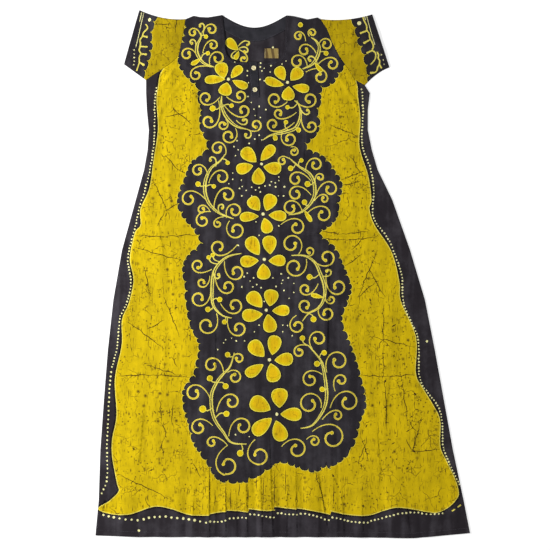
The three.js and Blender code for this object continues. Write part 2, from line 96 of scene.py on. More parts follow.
# Sharper creases: x, y, length, turn, width, height. A trough has a height under 0.
creases = [
    (-213, offHem, 230, 1, 10, -1.3), (-168, offHem, 190, -1, 9, -1.3), (-62, offHem, 330, 3, 10, -1.6),
    (-5, offHem, 350, 2, 10, -1.7), (62, offHem, 240, 4, 10, -1.4), (100, offHem, 560, 1, 9, -1.5),
    (148, offHem, 480, 2, 9, -1.2), (222, offHem, 190, -3, 14, -1.2), (262, offHem, 260, 3, 14, -1.3),
    (330, offHem, 230, 6, 14, -1.2), (362, offHem, 180, 9, 13, -1.1), (-250, offHem, 200, -2, 13, -1.2),
    (-330, offHem, 210, -4, 14, -1.1), (-430, offHem, 170, -4, 13, -1.0),
    (-182, -242, 90, 0, 9, -1.2), (-162, -235, 100, 0, 9, -1.3), (120, -170, 300, -1, 9, -1.2),
    (-63, 330, 130, 1, 9, -0.9), (54, 300, 90, 0, 9, -0.9), (118, 130, 210, 0, 9, -1.0),
    (-345, 459, 560, -90, 9, -0.8), (60, 106, 170, -91, 9, 1.5), (50, 89, 190, -92, 8, -1.4),
    (-385, 96, 240, -92, 9, -1.2), (-440, -259, 420, -90, 9, -1.1), (150, -259, 220, -89, 9, -1.1),
    (-338, 455, 130, -42, 10, -1.3), (-300, 425, 110, -34, 10, 1.2), (-322, 380, 130, -20, 11, 1.1),
    (205, 470, 100, 42, 9, -1.2), (190, 420, 110, 30, 10, 1.2), (205, 350, 120, 14, 11, 1.0),
    (-350, 180, 190, -10, 13, 1.2), (-395, -20, 180, -12, 14, 1.1), (240, 150, 160, 16, 12, 1.2),
    (330, -120, 190, 14, 14, 1.1), (290, -280, 170, 10, 13, 1.1), (-310, -330, 190, -4, 12, 1.1),
    (-275, -80, 210, 3, 12, 0.9), (-90, 250, 120, 8, 10, 0.8), (20, -60, 170, -6, 10, 0.8),
    (-60, -300, 160, 5, 11, 0.8), (70, 395, 110, 14, 9, 0.8), (-215, 300, 130, -14, 10, 0.9),
    (-290, 130, 150, 5, 11, -0.9), (190, -20, 150, -9, 11, -0.9), (-380, -200, 140, 6, 12, -0.9),
    (-312, 497, 85, -45, 9, -1.4), (-306, 478, 95, -34, 9, 1.3), (204, 478, 85, 46, 9, -1.3),
    (200, 462, 90, 36, 9, 1.2), (310, 20, 150, 20, 12, -0.9), (-250, -330, 150, -6, 11, -0.8),
    (250, -420, 160, 3, 11, -0.9),
]

# Pressed pleats that lap over the cloth beside them: x, y, length, turn, height, reach of the slow side.
pleats = [
    (-187, offHem, 245, 0, 2.3, 16), (-147, offHem, 210, -1, 2.1, 14), (-116, offHem, 190, 1, 1.6, 11),
    (-90, offHem, 240, 1, 2.0, 13), (-50, offHem, 310, 2, 2.5, 15), (-24, offHem, 345, 2, 2.1, 12),
    (8, offHem, 225, -1, 1.9, 13), (36, offHem, 250, 1, 1.7, 12), (126, offHem, 260, 10, 2.4, 18),
    (158, offHem, 200, 3, 1.6, 13), (-172, -250, 120, 0, 1.8, 13), (112, -210, 330, -1, 1.9, 14),
    (-66, 330, 150, 1, 1.5, 12), (-390, 90, 270, -91, 1.5, 14), (52, 98, 200, -91, 1.9, 12),
    (-270, 600, 44, 4, 1.2, 9), (250, -530, 160, 5, 1.5, 14), (-365, -480, 160, -5, 1.5, 14),
    (-232, offHem, 180, -2, 1.6, 14), (205, offHem, 170, 2, 1.5, 14), (330, offHem, 210, 7, 1.6, 16),
    (54, 290, 110, 0, 1.3, 10), (-300, 20, 120, 8, 1.2, 12), (260, -380, 120, -4, 1.3, 12),
]


def smooth(v):
    c = np.clip(v, 0, 1)
    return c * c * (3 - 2 * c)


def edgeAt(side, y):
    rows = np.array(cut["sections"])
    return np.interp(y, rows[:, 0], rows[:, side])


def between(rows, x):
    table = np.array(rows)
    return np.interp(x, table[:, 0], table[:, 1])


def slitX(y):
    return cut["slitTop"] + cut["slitLean"] * (cut["neckBottom"] - y)


def backNeckY(x):
    left, right = cut["neckPointLeft"], cut["neckPointRight"]
    share = np.clip(np.abs(x - (left + right) / 2) / ((right - left) / 2), 0, 1)
    return cut["neckPointY"] - cut["backDip"] * np.cos(share * math.pi / 2)


def frontNeckY(x):
    left, right = cut["neckLeft"], cut["neckRight"]
    share = np.abs((x - (left + right) / 2) / ((right - left) / 2))
    power = cut["neckSquareness"]
    deep = cut["neckTurn"] - cut["neckBottom"]
    return cut["neckTurn"] - deep * np.maximum(0, 1 - share ** power) ** (1 / power)


# The round bottom of the front neck from right to left, moved outwards by a distance.
def neckArc(more, count):
    half = (cut["neckRight"] - cut["neckLeft"]) / 2 + more
    middle = (cut["neckRight"] + cut["neckLeft"]) / 2
    deep = cut["neckTurn"] - cut["neckBottom"] + more
    power = 2 / cut["neckSquareness"]
    found = []
    for angle in np.linspace(0, math.pi, count):
        c, s = math.cos(angle), max(0.0, math.sin(angle))
        found.append((middle + half * math.copysign(abs(c) ** power, c), cut["neckTurn"] - deep * s ** power))
    return found


# How far points lie along and across a fold, and how much of it is left towards its ends.
def foldPlace(row, x, y):
    rx, ry, length, turn = row[:4]
    c, s = math.cos(math.radians(turn)), math.sin(math.radians(turn))
    run = -(x - rx) * s + (y - ry) * c
    ends = smooth((run + 12) / 24) * smooth((length - run) / (length / 3))
    return (x - rx) * c + (y - ry) * s, ends


def ridge(row, x, y):
    across, ends = foldPlace(row, x, y)
    width, height = row[4:]
    return height * np.exp(-((across / (width / 2)) ** 2)) * ends


def pleat(row, x, y):
    across, ends = foldPlace(row, x, y)
    height, reach = row[4:]
    side = across * math.copysign(1, reach)
    slow = np.exp(np.minimum(side, 0) / abs(reach))
    return height * np.where(side < 0, slow, smooth(1 - side / 2.4)) * ends


# Points along every crease and pleat, so that the cloth's faces can follow them.
foldPoints = dict(step=7, besidePleat=(-14, -8, -4, -1.5, 0, 1.2, 2.4, 5), inset=4, lowest=-652, highest=640)


def creasePoints():
    found, step = [], foldPoints["step"]
    rows = [(row, [k * row[4] * 0.25 for k in range(-4, 5)]) for row in creases]
    for row in pleats:
        rows.append((row, [math.copysign(1, row[5]) * d for d in foldPoints["besidePleat"]]))
    for (x, y, length, turn, *_), offsets in rows:
        c, s = math.cos(math.radians(turn)), math.sin(math.radians(turn))
        for k in range(int(length / step) + 1):
            for off in offsets:
                p = Vector((x - s * k * step + c * off, y + c * k * step + s * off))
                left, right = edgeAt(1, p.y) + foldPoints["inset"], edgeAt(2, p.y) - foldPoints["inset"]
                inside = left < p.x < right and foldPoints["lowest"] < p.y < foldPoints["highest"]
                if inside and facedNeck(np.array([p.x]), np.array([p.y]))[0] < 0.9:
                    found.append(p)
    return found


# 1 where the facing holds the front up round the neck and the placket, fading to 0 away from them.
def facedNeck(x, y):
    margin = cut["neckMargin"]
    dx = np.maximum.reduce([cut["neckLeft"] - margin - x, x - cut["neckRight"] - margin, np.zeros_like(x)])
    dy = np.maximum(cut["neckBottom"] - margin - y, 0)
    sx = np.maximum(np.abs(x - slitX(y)) - placket["width"] / 2 - cut["placketMargin"], 0)
    sy = np.maximum(cut["neckBottom"] - placket["length"] - cut["placketMargin"] - y, 0)
    away = np.minimum(np.hypot(dx, dy), np.hypot(sx, sy))
    return 1 - smooth(away / cut["liftFade"])


# Crumple left by the wash: two sizes of soft noise, each with its width, length and height.
crumples = dict(broad=(46, 70, 0.85), tight=(13, 24, 0.34))


def crumple(x, y, seed):
    values = []
    (bx, by, broadHeight), (tx, ty, tightHeight) = crumples["broad"], crumples["tight"]
    for px, py in zip(x, y):
        broad = noise.noise(Vector((px / bx, py / by, seed)))
        tight = noise.noise(Vector((px / tx, py / ty, seed + 7)))
        values.append(broadHeight * broad + tightHeight * tight)
    return np.array(values)


# The front's height: its face where detail is 1, the face without crumples at 0 and the side behind at -1.
relief = dict(settle=40, edge=14, calm=0.8, above=0.3, sunk=0.45, follow=0.6, behind=0.75, highest=7.8)


def frontZ(x, y, detail=1.0):
    faced = facedNeck(x, y)
    big = np.maximum.reduce([np.zeros_like(x)] + [ridge(row, x, y) for row in folds])
    fine = sum(ridge(row, x, y) for row in creases) + sum(pleat(row, x, y) for row in pleats)
    edge = np.minimum(x - edgeAt(1, y), edgeAt(2, y) - x)
    settled = smooth(edge / relief["settle"])
    base = 2 * cut["cloth"] + cut["gap"] + cut["lift"] * faced + big * (1 - faced) * settled
    if detail == 0:
        return base
    if detail < 0:
        return base - relief["behind"] - relief["follow"] * big * (1 - faced) * settled
    loose = (fine + crumple(x, y, 3)) * (1 - relief["calm"] * faced) * smooth(edge / relief["edge"])
    lowest = -relief["sunk"] - relief["follow"] * big * settled
    return np.minimum(base + relief["above"] + np.maximum(loose, lowest), relief["highest"])


# The dyes: sRGB colours as worn by each part of the print, and which of them lies on which. wornDye: parts
# that wear another's dye. crackled: how strongly each part is crazed.
dyes = dict(
    border="#242024",  # charcoal navy ground of the border
    # The dark crack dye below also colours the painted shade lines along the pressed pleats.
    vein="#382809",  # dye that ran into a long crack of the wax
    halo="#120d11",  # dark bleed round the waxed shapes
    fieldRim="#cabb48",  # pale line where the wax lay thickest
    field="#b59b02",
    sleeveField="#9c8502",
    navy="#232024",
    petalRim="#cec245",
    petal="#c0a809",
    petalHeart="#c29f08",
    scroll="#c4b850",
    scrollCore="#bda31c",
    dot="#d2ce92",
)
dyeOrder = ["border", "haloUnder", "field", "sleeveField", "fieldRim", "vein", "notchRim", "navy", "halo",
            "petalHalo", "scroll", "scrollCore", "petalRim", "petal", "petalHeart", "dot"]
wornDye = dict(haloUnder="halo", notchRim="petalRim", petalHalo="halo")
crackled = dict(field=1.0, sleeveField=0.8, fieldRim=0.4, scroll=0.15, scrollCore=0.15, dot=0.15, vein=0.15,
                notchRim=0.5, petal=0.5, petalHeart=0.6, petalRim=0.2)


def linear(hexColour):
    values = [int(hexColour[i:i + 2], 16) / 255 for i in (1, 3, 5)]
    return [v / 12.92 if v <= 0.04045 else ((v + 0.055) / 1.055) ** 2.4 for v in values]


# A smooth line through a few points, with a point about every step.
def curveThrough(points, step, closed=False):
    pts = [Vector(p) for p in points]
    count = len(pts)
    found = []
    for i in range(count if closed else count - 1):
        a, b = pts[i], pts[(i + 1) % count]
        before = pts[i - 1] if i or closed else a
        after = pts[(i + 2) % count] if i + 2 < count or closed else b
        parts = max(1, round((b - a).length / step))
        for k in range(parts):
            t = k / parts
            found.append(0.5 * (2 * a + (b - before) * t + (2 * before - 5 * a + 4 * b - after) * t * t
                                + (3 * a - before - 3 * b + after) * t ** 3))
    if not closed:
        found.append(pts[-1])
    return found


# The same line with straight stretches.
def straightThrough(points, step):
    found = []
    for a, b in zip(points, points[1:]):
        parts = max(1, round(math.dist(a, b) / step))
        found += [Vector(a).lerp(Vector(b), k / parts) for k in range(parts)]
    return found + [Vector(points[-1])]


def normals(points, closed):
    found = []
    last = len(points) - 1
    for i in range(len(points)):
        before = points[i - 1] if i or closed else points[0]
        after = points[(i + 1) % len(points)] if i < last or closed else points[last]
        run = (after - before).normalized()
        found.append(Vector((-run.y, run.x)))
    return found


# How far each point lies from a line.
def awayFrom(line, x, y):
    best = np.full_like(x, 1e9)
    for a, b in zip(line, line[1:]):
        run = b - a
        share = np.clip(((x - a.x) * run.x + (y - a.y) * run.y) / run.length_squared, 0, 1)
        best = np.minimum(best, np.hypot(x - a.x - share * run.x, y - a.y - share * run.y))
    return best


# A closed line moved outwards by a distance, or inwards where it is under 0.
def movedOut(points, distance):
    side = -1 if isClockwise(points) else 1
    return [p - n * distance * side for p, n in zip(points, normals(points, True))]


def isClockwise(points):
    return sum(a.x * b.y - b.x * a.y for a, b in zip(points, points[1:] + points[:1])) < 0


def disc(x, y, radius, rng, sides=10, squash=0.12):
    turn = rng.uniform(0, math.tau)
    wide = radius * (1 + rng.uniform(-squash, squash))
    tall = radius * (1 + rng.uniform(-squash, squash))
    lean = rng.uniform(0, math.pi)
    found = []
    for k in range(sides):
        angle = turn + math.tau * k / sides
        p = Vector((wide * math.cos(angle), tall * math.sin(angle)))
        p.rotate(Matrix.Rotation(lean, 2))
        found.append(p + Vector((x, y)))
    return found


# A drawn line as a row of quads with a disc at its end. widths: at the root, the middle and the end.
def stroke(shapes, points, widths, dye, rng, blob=0.0):
    sides = normals(points, False)
    last = len(points) - 1
    halves = []
    for i in range(len(points)):
        share = i / last
        wide = np.interp(share, (0, 0.5, 1), widths) * (1 + rng.uniform(-0.1, 0.1))
        halves.append(wide / 2)
    for i in range(last):
        a, b = points[i], points[i + 1]
        na, nb = sides[i] * halves[i], sides[i + 1] * halves[i + 1]
        quad = [a - na, b - nb, b + nb, a + na]
        if all((q - p).cross(r - q) > 0 for p, q, r in zip(quad, quad[1:] + quad[:1], quad[2:] + quad[:2])):
            shapes.append((dye, quad))
        else:
            shapes.append((dye, disc(a.x, a.y, halves[i], rng, 8, 0)))
    if blob:
        end = points[-1]
        shapes.append((dye, disc(end.x, end.y, blob, rng, 12)))


# A curl from its root round its eye. A curl whose radius is over big has more turns and a golden core.
curlLine = dict(turns=7.6, fewTurns=5.6, big=11, tighten=0.66, ease=0.55, step=3.7, grow=1.16)


def curl(shapes, root, eye, radius, hand, rng):
    start = Vector(root) - Vector(eye)
    first = math.atan2(start.y, start.x)
    away = start.length
    radius = min(radius * curlLine["grow"], away * 1.02)
    isBig = radius > curlLine["big"]
    turns = curlLine["turns"] if isBig else curlLine["fewTurns"]
    angle, points = 0.0, []
    while angle <= turns:
        r = radius * (1 - curlLine["tighten"] * angle / turns)
        r += (away - radius) * math.exp(-angle / curlLine["ease"])
        toward = first + hand * angle
        points.append(Vector(eye) + r * Vector((math.cos(toward), math.sin(toward))))
        angle += curlLine["step"] / max(r, 4)
    size = min(1, radius / 16)
    head = 2.9 + 1.6 * size
    stroke(shapes, points, (2.0, 3.3 + 0.7 * size, 4.6 + 0.8 * size), "scroll", rng, head)
    if isBig:
        stroke(shapes, points[2:], (0.7, 1.6, 2.6), "scrollCore", rng)
    shapes.append(("petal", disc(*points[-1], head - 1.5, rng, 10)))


# A bud hangs from the nearest point of its stem.
def bud(shapes, x, y, size, stem, rng):
    at = Vector((x, y))
    root = min(stem, key=lambda p: (p - at).length)
    if 4 < (root - at).length < 40:
        side = Vector((-(at - root).y, (at - root).x)) * 0.22
        stalk = curveThrough([root, root.lerp(at, 0.55) + side, at], 3.5)
        stroke(shapes, stalk, (2.0, 2.8, 3.8), "scroll", rng)
    radius = 0.68 * size + 2.2
    shapes.append(("petalHalo", disc(x, y, radius + 1.6, rng, 16, 0)))
    shapes.append(("petalRim", disc(x, y, radius, rng, 16, 0)))
    shapes.append(("petal", disc(x, y, radius - 1.5, rng, 14, 0)))


def leaf(shapes, x, y, stem, rng):
    at = Vector((x, y))
    root = min(stem, key=lambda p: (p - at).length)
    tip = at + (at - root).normalized() * 9
    petal(shapes, (*root, *tip, 12), rng)


# One petal from its pointed base to its round tip: a dark bleed, a pale rim, its yellow and a warmer heart.
petalForm = dict(halo=2.2, rim=2.0, heart=8.0, slim=0.84, full=0.44)


def petal(shapes, row, rng):
    base, tip, width = Vector(row[:2]), Vector(row[2:4]), row[4]
    axis = tip - base
    length = axis.length
    axis.normalize()
    side = Vector((-axis.y, axis.x))
    bend, skew = rng.uniform(-0.06, 0.06), rng.uniform(-0.12, 0.12)
    slim, full = petalForm["slim"], petalForm["full"]
    belly = slim / (slim + full)
    fullest = belly ** slim * (1 - belly) ** full
    layers = [("petalHalo", petalForm["halo"]), ("petalRim", 0), ("petal", -petalForm["rim"])]
    if width > 18:
        layers.append(("petalHeart", -petalForm["heart"]))
    for dye, more in layers:
        points = []
        for hand in (-1, 1):
            for angle in np.linspace(0, math.pi, 19)[:-1]:
                u = (1 - math.cos(angle)) / 2 if hand < 0 else (1 + math.cos(angle)) / 2
                half = (width / 2 + more) * u ** slim * (1 - u) ** full / fullest * (1 + hand * skew * u)
                along = u * (length + 2.2 * more) - 1.2 * more
                bow = bend * length * u * (1 - u) * 2
                points.append(base + axis * along + side * (hand * half + bow))
        shapes.append((dye, points))


# Flowers: the centre and five petals, each from base x, y to tip x, y, and its width.
flowers = [
    ((-138, 494), [(-149, 496, -157, 536, 34), (-131, 497, -105, 527, 23), (-128, 491, -89, 474, 21),
                   (-141, 486, -149, 453, 34), (-146, 494, -198, 491, 22)]),
    ((12, 486), [(4, 491, -12, 526, 29), (20, 491, 47, 520, 31), (25, 476, 67, 469, 23),
                 (15, 476, 13, 440, 33), (3, 479, -45, 493, 23)]),
    ((-54, 279), [(-67, 284, -104, 315, 34), (-56, 287, -22, 325, 28), (-49, 272, -4, 266, 32),
                  (-61, 270, -62, 227, 34), (-75, 275, -118, 264, 29)]),
    ((-50, 152), [(-59, 161, -85, 192, 33), (-42, 160, -27, 202, 35), (-36, 149, 9, 147, 27),
                  (-47, 142, -35, 104, 30), (-61, 146, -109, 143, 25)]),
    ((-47, 37), [(-60, 48, -88, 92, 36), (-32, 50, -34, 97, 36), (-36, 33, 7, 33, 29),
                 (-50, 26, -45, -14, 35), (-61, 34, -108, 31, 30)]),
    ((-42, -92), [(-53, -85, -86, -48, 36), (-33, -82, -25, -40, 37), (-27, -94, 17, -93, 28),
                  (-38, -102, -28, -148, 35), (-51, -102, -103, -106, 33)]),
    ((-34, -218), [(-47, -210, -82, -172, 38), (-27, -206, -20, -156, 35), (-21, -219, 26, -214, 33),
                   (-31, -227, -20, -274, 37), (-49, -230, -95, -255, 29)]),
    ((-15, -356), [(-31, -345, -82, -321, 42), (-8, -340, -8, -290, 42), (-6, -356, 48, -358, 34),
                   (-17, -372, 0, -424, 38), (-28, -366, -74, -407, 36)]),
]


def flower(shapes, centre, petals, rng):
    for row in petals:
        petal(shapes, row, rng)
    shapes.append(("dot", disc(*centre, 4.0, rng, 12)))


# Scroll vines. curls: root x, y, eye x, y, radius, hand (1 turns counter-clockwise). buds: x, y, size.
vines = [
    dict(  # left shoulder
        stem=[(-175, 525), (-200, 537), (-215, 560), (-215, 580), (-207, 600), (-208, 612)],
        curls=[(-208, 605, -228, 612, 11, 1), (-205, 612, -207, 630, 7, 1), (-202, 605, -181, 620, 14, -1),
               (-215, 548, -243, 557, 15, 1), (-222, 575, -230, 588, 8, 1), (-203, 560, -177, 580, 13, -1),
               (-185, 530, -165, 547, 17, -1), (-180, 525, -220, 505, 15, 1)],
        buds=[(-195, 602, 5), (-190, 560, 5)], leaves=[(-225, 536)]),
    dict(  # right shoulder
        stem=[(50, 520), (75, 530), (90, 550), (95, 575), (85, 592), (72, 600)],
        curls=[(68, 603, 75, 612, 14, -1), (58, 590, 40, 603, 12, 1), (92, 580, 110, 582, 15, -1),
               (85, 560, 55, 567, 15, 1), (62, 528, 37, 538, 17, 1), (88, 530, 70, 545, 8, 1),
               (88, 530, 125, 532, 16, -1), (58, 512, 95, 500, 18, -1)],
        buds=[(45, 632, 6), (110, 560, 6)], leaves=[(95, 520)]),
    dict(  # below the left bust flower
        stem=[(-155, 452), (-157, 430), (-150, 405), (-135, 385), (-115, 372), (-90, 367)],
        curls=[(-160, 448, -195, 447, 17, -1), (-163, 440, -188, 388, 18, -1), (-145, 392, -152, 378, 12, -1),
               (-143, 450, -108, 452, 15, 1), (-150, 430, -100, 415, 16, 1), (-118, 390, -97, 388, 9, 1),
               (-90, 367, -68, 378, 14, 1), (-120, 370, -137, 350, 18, -1), (-85, 366, -90, 352, 9, -1)],
        buds=[(-178, 420, 8), (-130, 427, 5)], leaves=[]),
    dict(  # below the right bust flower
        stem=[(35, 440), (43, 420), (42, 395), (30, 372), (5, 362), (-30, 353), (-50, 340)],
        curls=[(12, 437, -20, 443, 18, -1), (30, 440, 68, 443, 18, 1), (35, 410, -10, 408, 12, -1),
               (30, 385, -25, 380, 16, -1), (48, 410, 72, 375, 16, 1), (0, 362, 17, 343, 18, 1),
               (45, 420, 62, 412, 8, 1), (20, 322, 28, 310, 11, -1)],
        buds=[(12, 423, 5), (8, 385, 5), (40, 365, 6)], leaves=[(-20, 347)]),
    dict(  # waist, left
        stem=[(-125, 140), (-160, 155), (-185, 180), (-195, 210), (-193, 240), (-180, 268), (-160, 285),
              (-145, 305)],
        curls=[(-145, 303, -165, 318, 17, 1), (-190, 245, -215, 262, 16, 1), (-170, 272, -180, 290, 8, 1),
               (-188, 230, -155, 245, 18, -1), (-197, 190, -238, 190, 19, 1), (-175, 165, -140, 200, 19, -1),
               (-185, 160, -205, 163, 11, 1), (-182, 158, -203, 135, 17, 1), (-160, 155, -155, 170, 8, -1),
               (-142, 142, -122, 160, 18, -1), (-150, 145, -165, 127, 10, 1), (-135, 135, -118, 112, 22, 1)],
        buds=[(-140, 282, 5), (-215, 228, 7), (-175, 222, 5)], leaves=[]),
    dict(  # waist, right
        stem=[(15, 150), (45, 155), (70, 175), (83, 200), (82, 230), (70, 255), (40, 275), (15, 295)],
        curls=[(15, 293, -1, 286, 11, 1), (58, 262, 83, 277, 17, -1), (72, 235, 33, 240, 17, 1),
               (83, 230, 95, 245, 10, -1), (85, 200, 120, 215, 19, -1), (72, 200, 33, 203, 18, 1),
               (80, 185, 105, 190, 11, -1), (50, 155, 20, 167, 19, 1), (60, 152, 102, 150, 20, -1),
               (-5, 125, 35, 118, 20, -1)],
        buds=[(47, 288, 5), (20, 268, 7), (63, 228, 8), (55, 182, 7)], leaves=[(68, 140)]),
    dict(  # hip, left
        stem=[(-105, 52), (-140, 45), (-165, 25), (-178, 0), (-182, -40), (-178, -80), (-155, -105),
              (-130, -112)],
        curls=[(-115, 75, -163, 68, 20, -1), (-180, 12, -215, 22, 16, -1), (-175, 10, -165, -5, 8, 1),
               (-148, 32, -118, 5, 20, 1), (-185, -5, -205, -22, 12, -1), (-172, 0, -140, -32, 18, 1),
               (-183, -40, -213, -62, 20, -1), (-158, -75, -122, -80, 20, 1),
               (-168, -100, -193, -130, 22, -1), (-140, -110, -112, -138, 20, 1)],
        buds=[(-188, 42, 5), (-178, 48, 5), (-160, -65, 7), (-190, -90, 7), (-148, -122, 6)], leaves=[]),
    dict(  # hip, right
        stem=[(22, 47), (55, 45), (80, 28), (93, 0), (103, -30), (103, -60), (90, -85), (65, -100),
              (50, -120)],
        curls=[(40, 50, 22, 75, 24, 1), (55, 48, 68, 58, 11, 1), (75, 35, 112, 42, 20, 1),
               (60, 38, 30, 18, 24, -1), (100, -5, 115, 5, 9, 1), (110, 0, 140, -32, 21, 1),
               (90, -25, 57, -38, 15, -1), (108, -50, 122, -65, 11, 1), (95, -80, 57, -80, 17, -1),
               (92, -80, 112, -100, 18, 1), (35, -105, 37, -132, 18, 1)],
        buds=[(68, -8, 8), (78, -115, 8)], leaves=[(80, -55)]),
    dict(  # knee, left
        stem=[(-92, -432), (-130, -427), (-150, -400), (-170, -370), (-178, -340), (-178, -305), (-165, -275),
              (-150, -255), (-133, -235), (-123, -200)],
        curls=[(-150, -255, -180, -232, 19, 1), (-128, -225, -112, -215, 13, -1),
               (-140, -250, -122, -262, 16, -1), (-183, -320, -225, -303, 21, 1),
               (-168, -350, -130, -325, 20, -1), (-178, -385, -213, -390, 20, 1),
               (-137, -412, -102, -388, 22, -1), (-140, -435, -180, -428, 13, 1),
               (-140, -435, -140, -485, 28, 1), (-70, -420, -60, -460, 27, 1)],
        buds=[(-140, -205, 7), (-185, -265, 8), (-145, -285, 8), (-203, -343, 10), (-143, -355, 8),
              (-108, -455, 9)], leaves=[]),
    dict(  # knee, right
        stem=[(45, -392), (75, -385), (100, -355), (112, -325), (113, -290), (105, -240), (95, -215),
              (65, -182)],
        curls=[(68, -183, 42, -198, 14, 1), (75, -190, 90, -165, 20, -1), (112, -250, 140, -222, 25, -1),
               (100, -255, 70, -268, 20, 1), (133, -298, 148, -270, 15, -1), (120, -340, 165, -325, 27, -1),
               (97, -340, 68, -330, 28, 1), (100, -370, 138, -360, 13, -1), (75, -400, 125, -415, 30, -1),
               (60, -420, 80, -425, 13, -1), (-3, -438, 35, -445, 24, -1)],
        buds=[(50, -163, 7), (105, -200, 7), (87, -228, 8), (100, -293, 7)], leaves=[]),
]

# Small loose dots between the flowers, in the order they were dropped.
looseDots = [
    (-122, 537), (-90, 515), (-90, 503), (-56, 535), (-57, 525), (-47, 522), (-53, 515), (-30, 528),
    (-32, 512), (-47, 490), (-58, 493), (-2, 532), (8, 540), (-87, 485), (-88, 450), (-80, 435),
    (-73, 418), (-70, 402), (-60, 425), (-43, 417), (-57, 397), (-60, 352), (-71, 342), (-85, 331),
    (-116, 338), (-124, 323), (-113, 315), (-120, 300), (-53, 340), (-127, 256), (-127, 240), (-137, 229),
    (-105, 238), (-110, 217), (-103, 222), (-93, 212), (-79, 220), (-69, 213), (-60, 219), (-57, 208),
    (-45, 223), (-33, 225), (-29, 234), (-19, 231), (-10, 246), (-10, 237), (-18, 221), (4, 221),
    (-104, 198), (-79, 198), (-11, 198), (2, 198), (-68, 132), (-10, 122), (-60, 98), (-113, 72),
    (-90, 2), (-98, -7), (-74, -10), (-83, -18), (-66, -27), (-76, -33), (-55, -35), (-104, -33), (-4, 0),
    (-25, -10), (14, -10), (0, -16), (-3, -24), (28, -24), (-17, -32), (3, -42), (28, -47), (16, -62),
    (-47, -70), (-60, -130), (0, -130), (12, -131), (-72, -147), (0, -147), (24, -157), (-145, -167),
    (-130, -163), (-118, -170), (-97, -170), (-150, -175), (-165, -192), (-85, -413), (-120, -408),
]

# The navy panel down the middle, counter-clockwise from the left shoulder, and the yellow field round it.
panelEdge = dict(
    left=[(-244, 665), (-244, 647), (-250, 600), (-264.5, 546), (-246.5, 505), (-210, 472), (-215, 447),
          (-205, 416), (-210, 386), (-197.5, 350), (-185, 332), (-192, 310), (-233, 279), (-248, 236),
          (-266, 188), (-257, 160), (-241, 132), (-223, 114), (-203, 76), (-223, 58), (-244, 40),
          (-252, 10), (-244, -31), (-244, -69), (-238, -107), (-226, -148), (-210, -178), (-215, -219),
          (-222, -257), (-249, -290), (-251, -328), (-244, -358), (-233, -399), (-222, -435),
          (-196, -468), (-177, -501), (-167, -521), (-119, -526), (-68, -516), (-48, -498), (-17, -480),
          (16, -480), (46, -493), (77, -499), (94, -497), (107, -476), (120, -491), (137, -483), (166, -457)],
    right=[(176, -440), (184, -412), (194, -374), (208, -341), (206, -305), (194, -262), (189, -234),
           (176, -198), (167, -173), (154, -148), (148, -112), (158, -79), (172, -38), (163, -8),
           (150, 25), (135, 58), (112, 81), (87, 104), (112, 119), (138, 147), (140, 188), (148, 226),
           (131, 256), (100, 297), (57, 315), (62, 338), (82, 348), (92, 381), (84, 411), (96, 437),
           (93, 472), (122, 482), (140, 510), (156, 533), (160, 600), (120, 665)],
    pitch=19, deepLeft=7.6, deepRight=7.6,
)
fieldEdge = dict(
    left=[(-285, 570), (-298, 530), (-311, 505), (-315, 480), (-319, 452), (-319, 426), (-316, 365),
          (-327, 289), (-338, 216), (-360, 165), (-360, 124), (-374, 104), (-387, 40), (-378, -16),
          (-390, -74), (-407, -117), (-408, -181), (-425, -267), (-421, -358), (-432, -419), (-432, -465),
          (-420, -530), (-416, -552), (-440, -577), (-468, -596)],
    hem=[(-434, -609), (-388, -609), (-327, -590), (-284, -595), (-238, -610), (-192, -610), (-139, -600),
         (-48, -599), (-20, -595), (23, -595), (60, -598), (117, -605), (166, -612), (219, -612),
         (257, -600), (295, -592), (366, -603)],
    right=[(392, -605), (420, -592), (440, -572), (446, -555), (437, -521), (415, -475), (399, -437),
           (399, -374), (384, -338), (355, -290), (337, -252), (337, -160), (299, -69), (295, -21),
           (275, 56), (232, 124), (219, 165), (224, 188), (216, 249), (194, 322), (196, 391), (190, 452),
           (188, 480), (176, 520), (170, 570)],
)

# The rows of wax dots outside the field's edge, each with its pitch and the dots' radius.
dotRows = [
    ([(-319, 480), (-325, 440), (-325, 392), (-327, 330), (-337, 264), (-350, 213), (-365, 162), (-373, 125),
      (-384, 81), (-391, 55), (-393, 30), (-386, -10), (-387, -41), (-397, -76), (-412, -107), (-416, -137),
      (-418, -168), (-424, -203), (-434, -239)], 7.6, 2.1),
    ([(-434, -239), (-439, -280), (-441, -315), (-444, -396), (-446, -447), (-445, -498), (-448, -530),
      (-459, -557)], 10.2, 2.3),
    ([(-469, -607), (-456, -612), (-434, -616), (-421, -620), (-385, -624), (-365, -624), (-335, -619),
      (-299, -616), (-266, -619), (-241, -622), (-205, -628)], 14, 3.1),
    ([(-205, -628), (-164, -628), (-139, -622), (-103, -615), (-58, -613), (-32, -615), (-8, -611),
      (48, -609), (80, -612), (112, -620), (149, -625), (202, -632), (240, -623), (288, -610),
      (330, -605), (373, -610), (410, -607)], 9.8, 2.5),
    ([(199, 477), (202, 457), (203, 430), (205, 412), (202, 386), (201, 355), (201, 335), (206, 310),
      (217, 284), (225, 259), (230, 228), (231, 198), (228, 167), (230, 142), (241, 123), (258, 102),
      (274, 77), (282, 56), (294, 23), (302, -8), (304, -46), (309, -82), (324, -119), (340, -152),
      (345, -184), (345, -216), (345, -248), (353, -279), (369, -302), (383, -320), (398, -344),
      (404, -375), (406, -407), (407, -438), (420, -475), (435, -507), (449, -534)], 7.4, 2.2),
]

# Single dots in the border, x, y and radius, and the two dashes at the hem's right corner.
strayDots = [(-365, -651, 3.4), (366, -171, 3)]
cornerDashes = [[(429, -602), (437, -597)], [(444, -592), (452, -586)]]

# Where a pleat swallows cloth at the hem, the print jumps: x and the jump, from top down to full.
tucks = dict(rows=[(-186, 3), (-145, 3), (-88, 9), (-21, 9), (36, -3), (121, -10)], reach=34,
             top=-455, full=-500, smallest=60)
